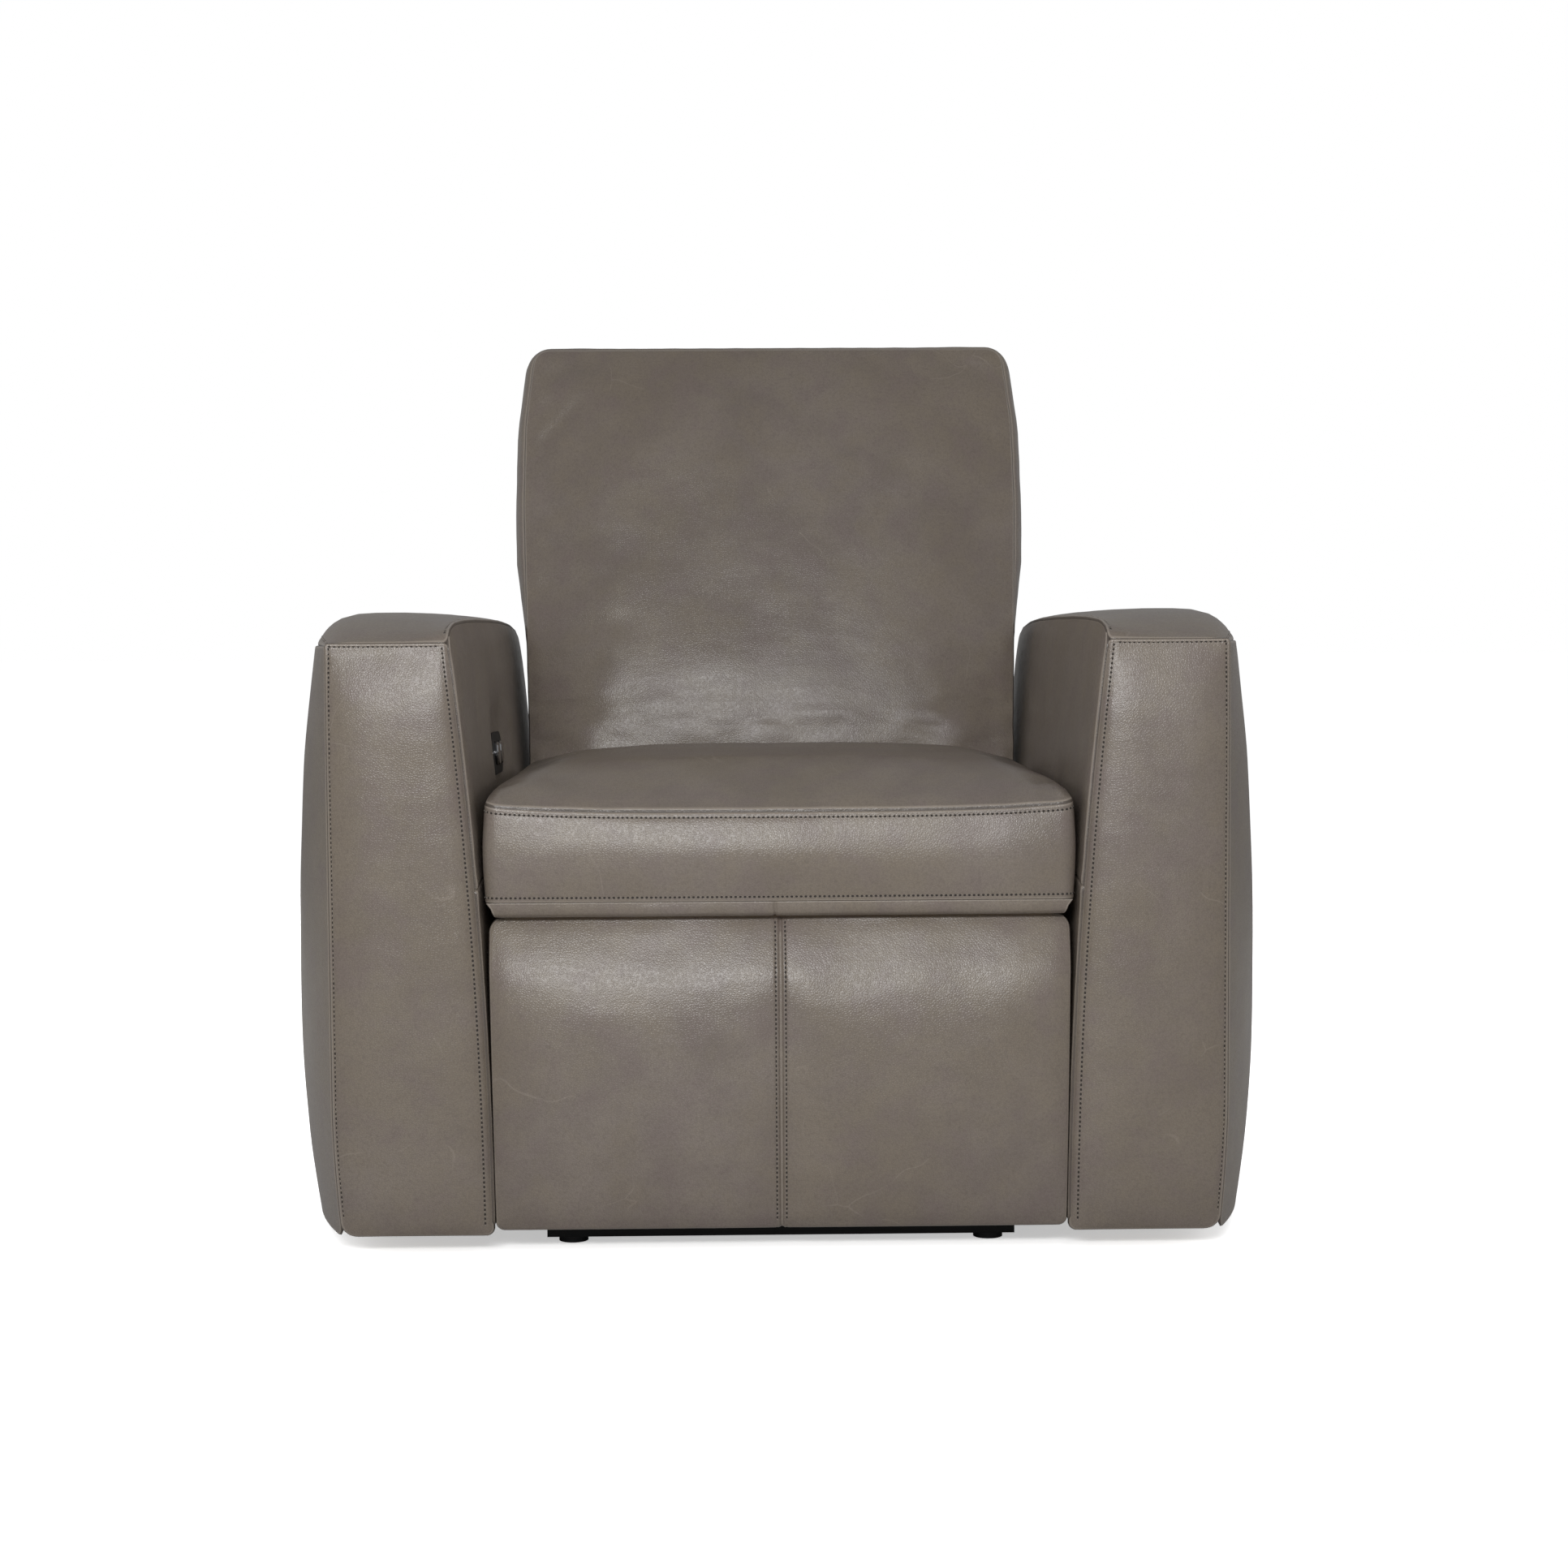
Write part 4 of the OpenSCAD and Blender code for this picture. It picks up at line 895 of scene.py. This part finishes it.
def back_front_face(s, t):
    w = back_w(t)
    half = back_half(w)
    drawn_in = 1 - np.clip((302 - w) / 176, 0, 1) ** 2
    belly = 27 * hump(s, 3) * hump(np.maximum(t, 0), 3.4) * drawn_in + 3
    return leaned(s * half, -92 - belly, w)


def back_rear_face(s, t):
    w = back_w(t)
    return leaned(s * back_half(w), 37.5 + 0 * s, w)


def back_marks(u, v, d):
    """Soft creases where the seat presses the back, low down."""
    broad = 1.1 * ripple(u * 0.35 + v * 0.3, v, 17, 71)
    fine = 0.5 * ripple(u * 0.4, v * 1.1, 11, 72)
    return dip(v + 168, 34) * (broad + fine) + 0.8 * np.exp(-((d - 15) / 10) ** 2)


back = Panel((612, BACK_TOP - BACK_LOW), back_front_face, back_rear_face, (10, 10, 20, 20), 3.6,
             back_marks, 73, 1.5)
fill(back, 14, 12)
BACK_RINGS = (
    (0.004, 0.3), (0.012, 1.8), (0.03, 4.0), (0.06, 6.2), (0.12, 9.0), (0.22, 11.8), (0.35, 13.6),
    (0.5, 14.2), (0.65, 13.2), (0.8, 10.4), (0.92, 6.6), (0.975, 3.4), (0.995, 0.8), (1.0, -1.0))


# Closeness to the back border's two seams: painted shade in them, with a paler painted highlight beside
# them.
def back_border_seam(q):
    return max(math.exp(-(q * BACK_BORDER / 1.8) ** 2),
               math.exp(-((1 - q) * BACK_BORDER / 1.8) ** 2))


def back_border_full(u, v):
    """The border lies flat between the arms and swells above them."""
    return 0.2 + 0.8 * np.clip((v + 50) / 110, 0, 1)


back.wall_seam, back.full = back_border_seam, back_border_full
cover("back_cushion_cover", back.mesh(9, rings=BACK_RINGS, extra_v=np.arange(-210, -120, 4.0)),
      "back", "back_cushion")

REAR_WIDE, REAR_LOW, REAR_TALL = 606, -100, BACK_TOP + 94
REAR_U, REAR_V = REAR_WIDE / 2 - 9, REAR_TALL / 2 - 9  # where its stitch lines run


def rear_face(s, t):
    w = REAR_LOW + REAR_TALL * (t + 1) / 2
    half = 285 + 19.5 * (t + 1) / 2
    return leaned(-s * half, 68 - 4 * (1 - hump(s, 4) * hump(t, 8)), w)


def rear_under(s, t):
    w = REAR_LOW + 3 + (REAR_TALL - 9) * (t + 1) / 2
    return leaned(-s * (283 + 19.5 * (t + 1) / 2), 42.3 + 0 * s, w)


def rear_band(u, v, d):
    return -0.6 * dip(d - 9, 1.0)


rear = Panel((REAR_WIDE, REAR_TALL), rear_face, rear_under, (12, 12, 22, 22), 3.4, rear_band, 81, 0.8)
REAR_RINGS = ((0.1, 0.4), (0.3, 1.4), (0.6, 1.4), (0.9, 0.2), (1.0, -1.0))
cover("back_rear_panel", rear.mesh(15, rings=REAR_RINGS), "back", "back_rear_cover")
stitching("back_rear_stitching", "back", [
    rear.down(-REAR_U, -REAR_V + 10, REAR_V - 16, 100),
    rear.down(REAR_U, -REAR_V + 10, REAR_V - 16, 100),
    rear.across(REAR_V, -REAR_U + 16, REAR_U - 16, 90)])


# Footrest

FOOT_Z, FOOT_HALF_TALL = 182.8, 156.7
FOOT_FRONT = -436.5
FOOT_STITCHES = 4.9  # from the crease between its two halves


def foot_face(s, t):
    z = FOOT_Z + FOOT_HALF_TALL * t
    half = 286.9 + 2.4 * t + 0.5 * (1 - t * t)
    from_top = np.maximum(1 - t, 0) * FOOT_HALF_TALL
    fall = 21 * np.exp(-(from_top / 41) ** 1.5) + 6 * np.clip((-t - 0.72) / 0.28, 0, 1) ** 2
    sunk = 4 * (1 - hump(2 * np.abs(s) - 1, 6))
    return s * half, FOOT_FRONT + np.maximum(fall, sunk) + 0.35 * np.minimum(fall, sunk), z


def foot_back(s, t):
    return s * (286 + 2.3 * t), -398.2 + 0 * s, FOOT_Z + 156 * t


def foot_band(u, v, d):
    crease = -2.4 * dip(u, 2.0) - 0.6 * dip(np.abs(u) - FOOT_STITCHES, 0.8)
    return crease + 0.9 * np.exp(-((d - 17) / 12) ** 2)


foot = Panel((573, 313), foot_face, foot_back, (9, 9, 16, 16), 4.0, foot_band, 91, 0.9)
fill(foot, 12, 8, 14)
FOOT_RINGS = ((0.03, 0.1), (0.08, 0.3), (0.16, 0.2), (0.3, 0.3), (0.5, 0.4), (0.8, 0.1), (0.95, -0.3),
              (1.0, -1.5))
CREASE = (0.6, 1.3, 2.2, 3.2, 4.2, 4.9, 5.5, 6.4, 8)
# Only the strip of wall next to the footrest's face counts as seam: painted shade along its edge.
foot.wall_seam = lambda q: math.exp(-(q * 38 / 1.5) ** 2)
points, faces, seam = foot.mesh(12, rings=FOOT_RINGS, extra_u=(0, *CREASE, *[-u for u in CREASE]))
# The middle crease gets seam closeness too: painted shade down the crease, with a paler painted
# highlight beside it.
seam = np.maximum(seam, [0.9 * math.exp(-(x / 0.9) ** 2) if y < -420 else 0 for x, y, z in points])
cover("footrest_cover", (points, faces, seam), "footrest", "footrest_pad")
stitching("footrest_stitching", "footrest", [
    foot.down(u, -148, 148, 60) for u in (-FOOT_STITCHES, FOOT_STITCHES)])


# Deck pad and rear kick panel

DECK_Y, DECK_HALF_WIDE, DECK_HALF_DEEP = -160.7, 273, 188.5
KICK_Z, KICK_HALF_WIDE, KICK_HALF_TALL = 105, 282, 59


def deck_face(s, t):
    z = 353.6 - 1.2 * (1 - hump(s, 8) * hump(t, 8))
    return s * DECK_HALF_WIDE, DECK_Y + t * DECK_HALF_DEEP, z


def deck_under(s, t):
    return s * DECK_HALF_WIDE, DECK_Y + t * DECK_HALF_DEEP, 342.5 + 0 * s


deck = Panel((2 * DECK_HALF_WIDE, 2 * DECK_HALF_DEEP), deck_face, deck_under, (8, 8, 8, 8), 3.0,
             None, 101, 0.15)
cover("deck_felt", deck.mesh(30), "carriage", "deck_pad",
      strap_weave("felt", paint(70, 68, 66), paint(104, 101, 97), 220))


def kick_face(s, t):
    y = 317.2 - 1.5 * (1 - hump(s, 6) * hump(t, 4))
    return -s * KICK_HALF_WIDE, y, KICK_Z + KICK_HALF_TALL * t


def kick_under(s, t):
    return -s * KICK_HALF_WIDE, 300.6 + 0 * s, KICK_Z + KICK_HALF_TALL * t


def kick_band(u, v, d):
    return -0.55 * dip(d - 8, 1.0)


kick = Panel((2 * KICK_HALF_WIDE, 2 * KICK_HALF_TALL), kick_face, kick_under, (7, 7, 7, 7), 3.2,
             kick_band, 111, 0.3)
KICK_RINGS = ((0.2, 0.4), (0.7, 0.4), (1.0, -2.0))
cover("kick_panel_cover", kick.mesh(14, rings=KICK_RINGS), "base", "kick_panel")
stitching("kick_panel_stitching", "base", [kick.across(51.0, -270, 270, 80)])


# Room, lights and camera

def backdrop_rays(tree):
    """1 for rays from the camera, a small share of it for those sent on by a shiny or clear surface."""
    path = tree.nodes.new("ShaderNodeLightPath").outputs
    seen, shiny, clear = [Flow(tree, path[f"Is {ray} Ray"])
                          for ray in ("Camera", "Glossy", "Transmission")]
    sent = seen + (shiny + clear) * 0.05
    return sent.work("MINIMUM", sent, 1.0)


def room():
    """A pale floor that the camera sees as white, with the seat's shadow, and an even white world."""
    mesh = bpy.data.meshes.new("floor")
    mesh.from_pydata([(-30, -12, 0), (30, -12, 0), (30, 60, 0), (-30, 60, 0)], [], [(0, 1, 2, 3)])
    floor = bpy.data.objects.new("floor", mesh)
    bpy.context.scene.collection.objects.link(floor)
    f = Finish("pale_floor", Roughness=0.9, Specular_IOR_Level=0.1)
    f.give(Base_Color=f.mix(f.noise(3), (0.46, 0.46, 0.46), (0.48, 0.48, 0.48)))
    glow = f.node("Emission", Color=(1, 1, 1), Strength=0.48)
    pale = f.node("BsdfDiffuse", Color=(1.65, 1.65, 1.65))
    seen = f.tree.nodes.new("ShaderNodeAddShader")
    both = f.tree.nodes.new("ShaderNodeMixShader")
    sources = (glow, pale, backdrop_rays(f.tree), Flow(f.tree, f.shader.outputs[0]),
               Flow(f.tree, seen.outputs[0]))
    for place, value in zip([*seen.inputs, *both.inputs], sources):
        f.feed(place, value)
    f.tree.links.new(both.outputs[0], f.tree.nodes["Material Output"].inputs["Surface"])
    mesh.materials.append(f.material)
    world = bpy.data.worlds.new("studio")
    world.use_nodes = True
    bpy.context.scene.world = world
    tree = world.node_tree
    level = backdrop_rays(tree) * 0.68 + 0.32
    tree.nodes["Background"].inputs["Color"].default_value = (1, 1, 1, 1)
    tree.links.new(level.socket, tree.nodes["Background"].inputs["Strength"])


def lamp(name, place, towards, size, watts, shine=True):
    data = bpy.data.lights.new(name, "AREA")
    data.shape, data.size, data.size_y, data.energy = "ELLIPSE", *size, watts
    made = bpy.data.objects.new(name, data)
    bpy.context.scene.collection.objects.link(made)
    made.location = place
    made.visible_glossy = shine
    made.rotation_mode = "QUATERNION"
    made.rotation_quaternion = (made.location - type(made.location)(towards)).to_track_quat("Z", "Y")


room()
lamp("key", (-0.3, -3.2, 1.36), (0, -0.3, 0.45), (1.5, 0.3), 31)
lamp("key_halo", (-0.3, -3.23, 1.36), (0, -0.3, 0.45), (2.2, 0.48), 19)
lamp("left_fill", (-0.42, -1.7, 1.1), (0.3, 0.1, 0.5), (0.3, 0.8), 3, False)
lamp("right_fill", (0.42, -1.7, 1.1), (-0.3, 0.1, 0.5), (0.3, 0.8), 3, False)
lamp("left_side", (-3.1, 0.3, 1.2), (-0.4, 0, 0.4), (1.4, 1.4), 19, False)
lamp("right_side", (3.1, 0.3, 1.2), (0.4, 0, 0.4), (1.4, 1.4), 19, False)
lamp("rear", (-0.5, 3.2, 1.6), (0, 0.2, 0.45), (1.8, 1.2), 32, False)

camera = bpy.data.objects.new("camera", bpy.data.cameras.new("camera"))
bpy.context.scene.collection.objects.link(camera)
camera.data.lens, camera.data.sensor_width = 59.16, 36
camera.location = (-0.0388, -2.964, 0.619)
TURNED, TILTED_DOWN, ROLLED = -0.98, 3.372, -0.345
aim = [Matrix.Rotation(math.radians(angle), 3, axis)
       for angle, axis in ((TURNED, "Z"), (90 - TILTED_DOWN, "X"), (ROLLED, "Z"))]
camera.rotation_mode = "QUATERNION"
camera.rotation_quaternion = (aim[0] @ aim[1] @ aim[2]).to_quaternion()
camera.data.clip_end = 100
bpy.context.scene.camera = camera
bpy.context.scene.view_settings.view_transform = "Standard"
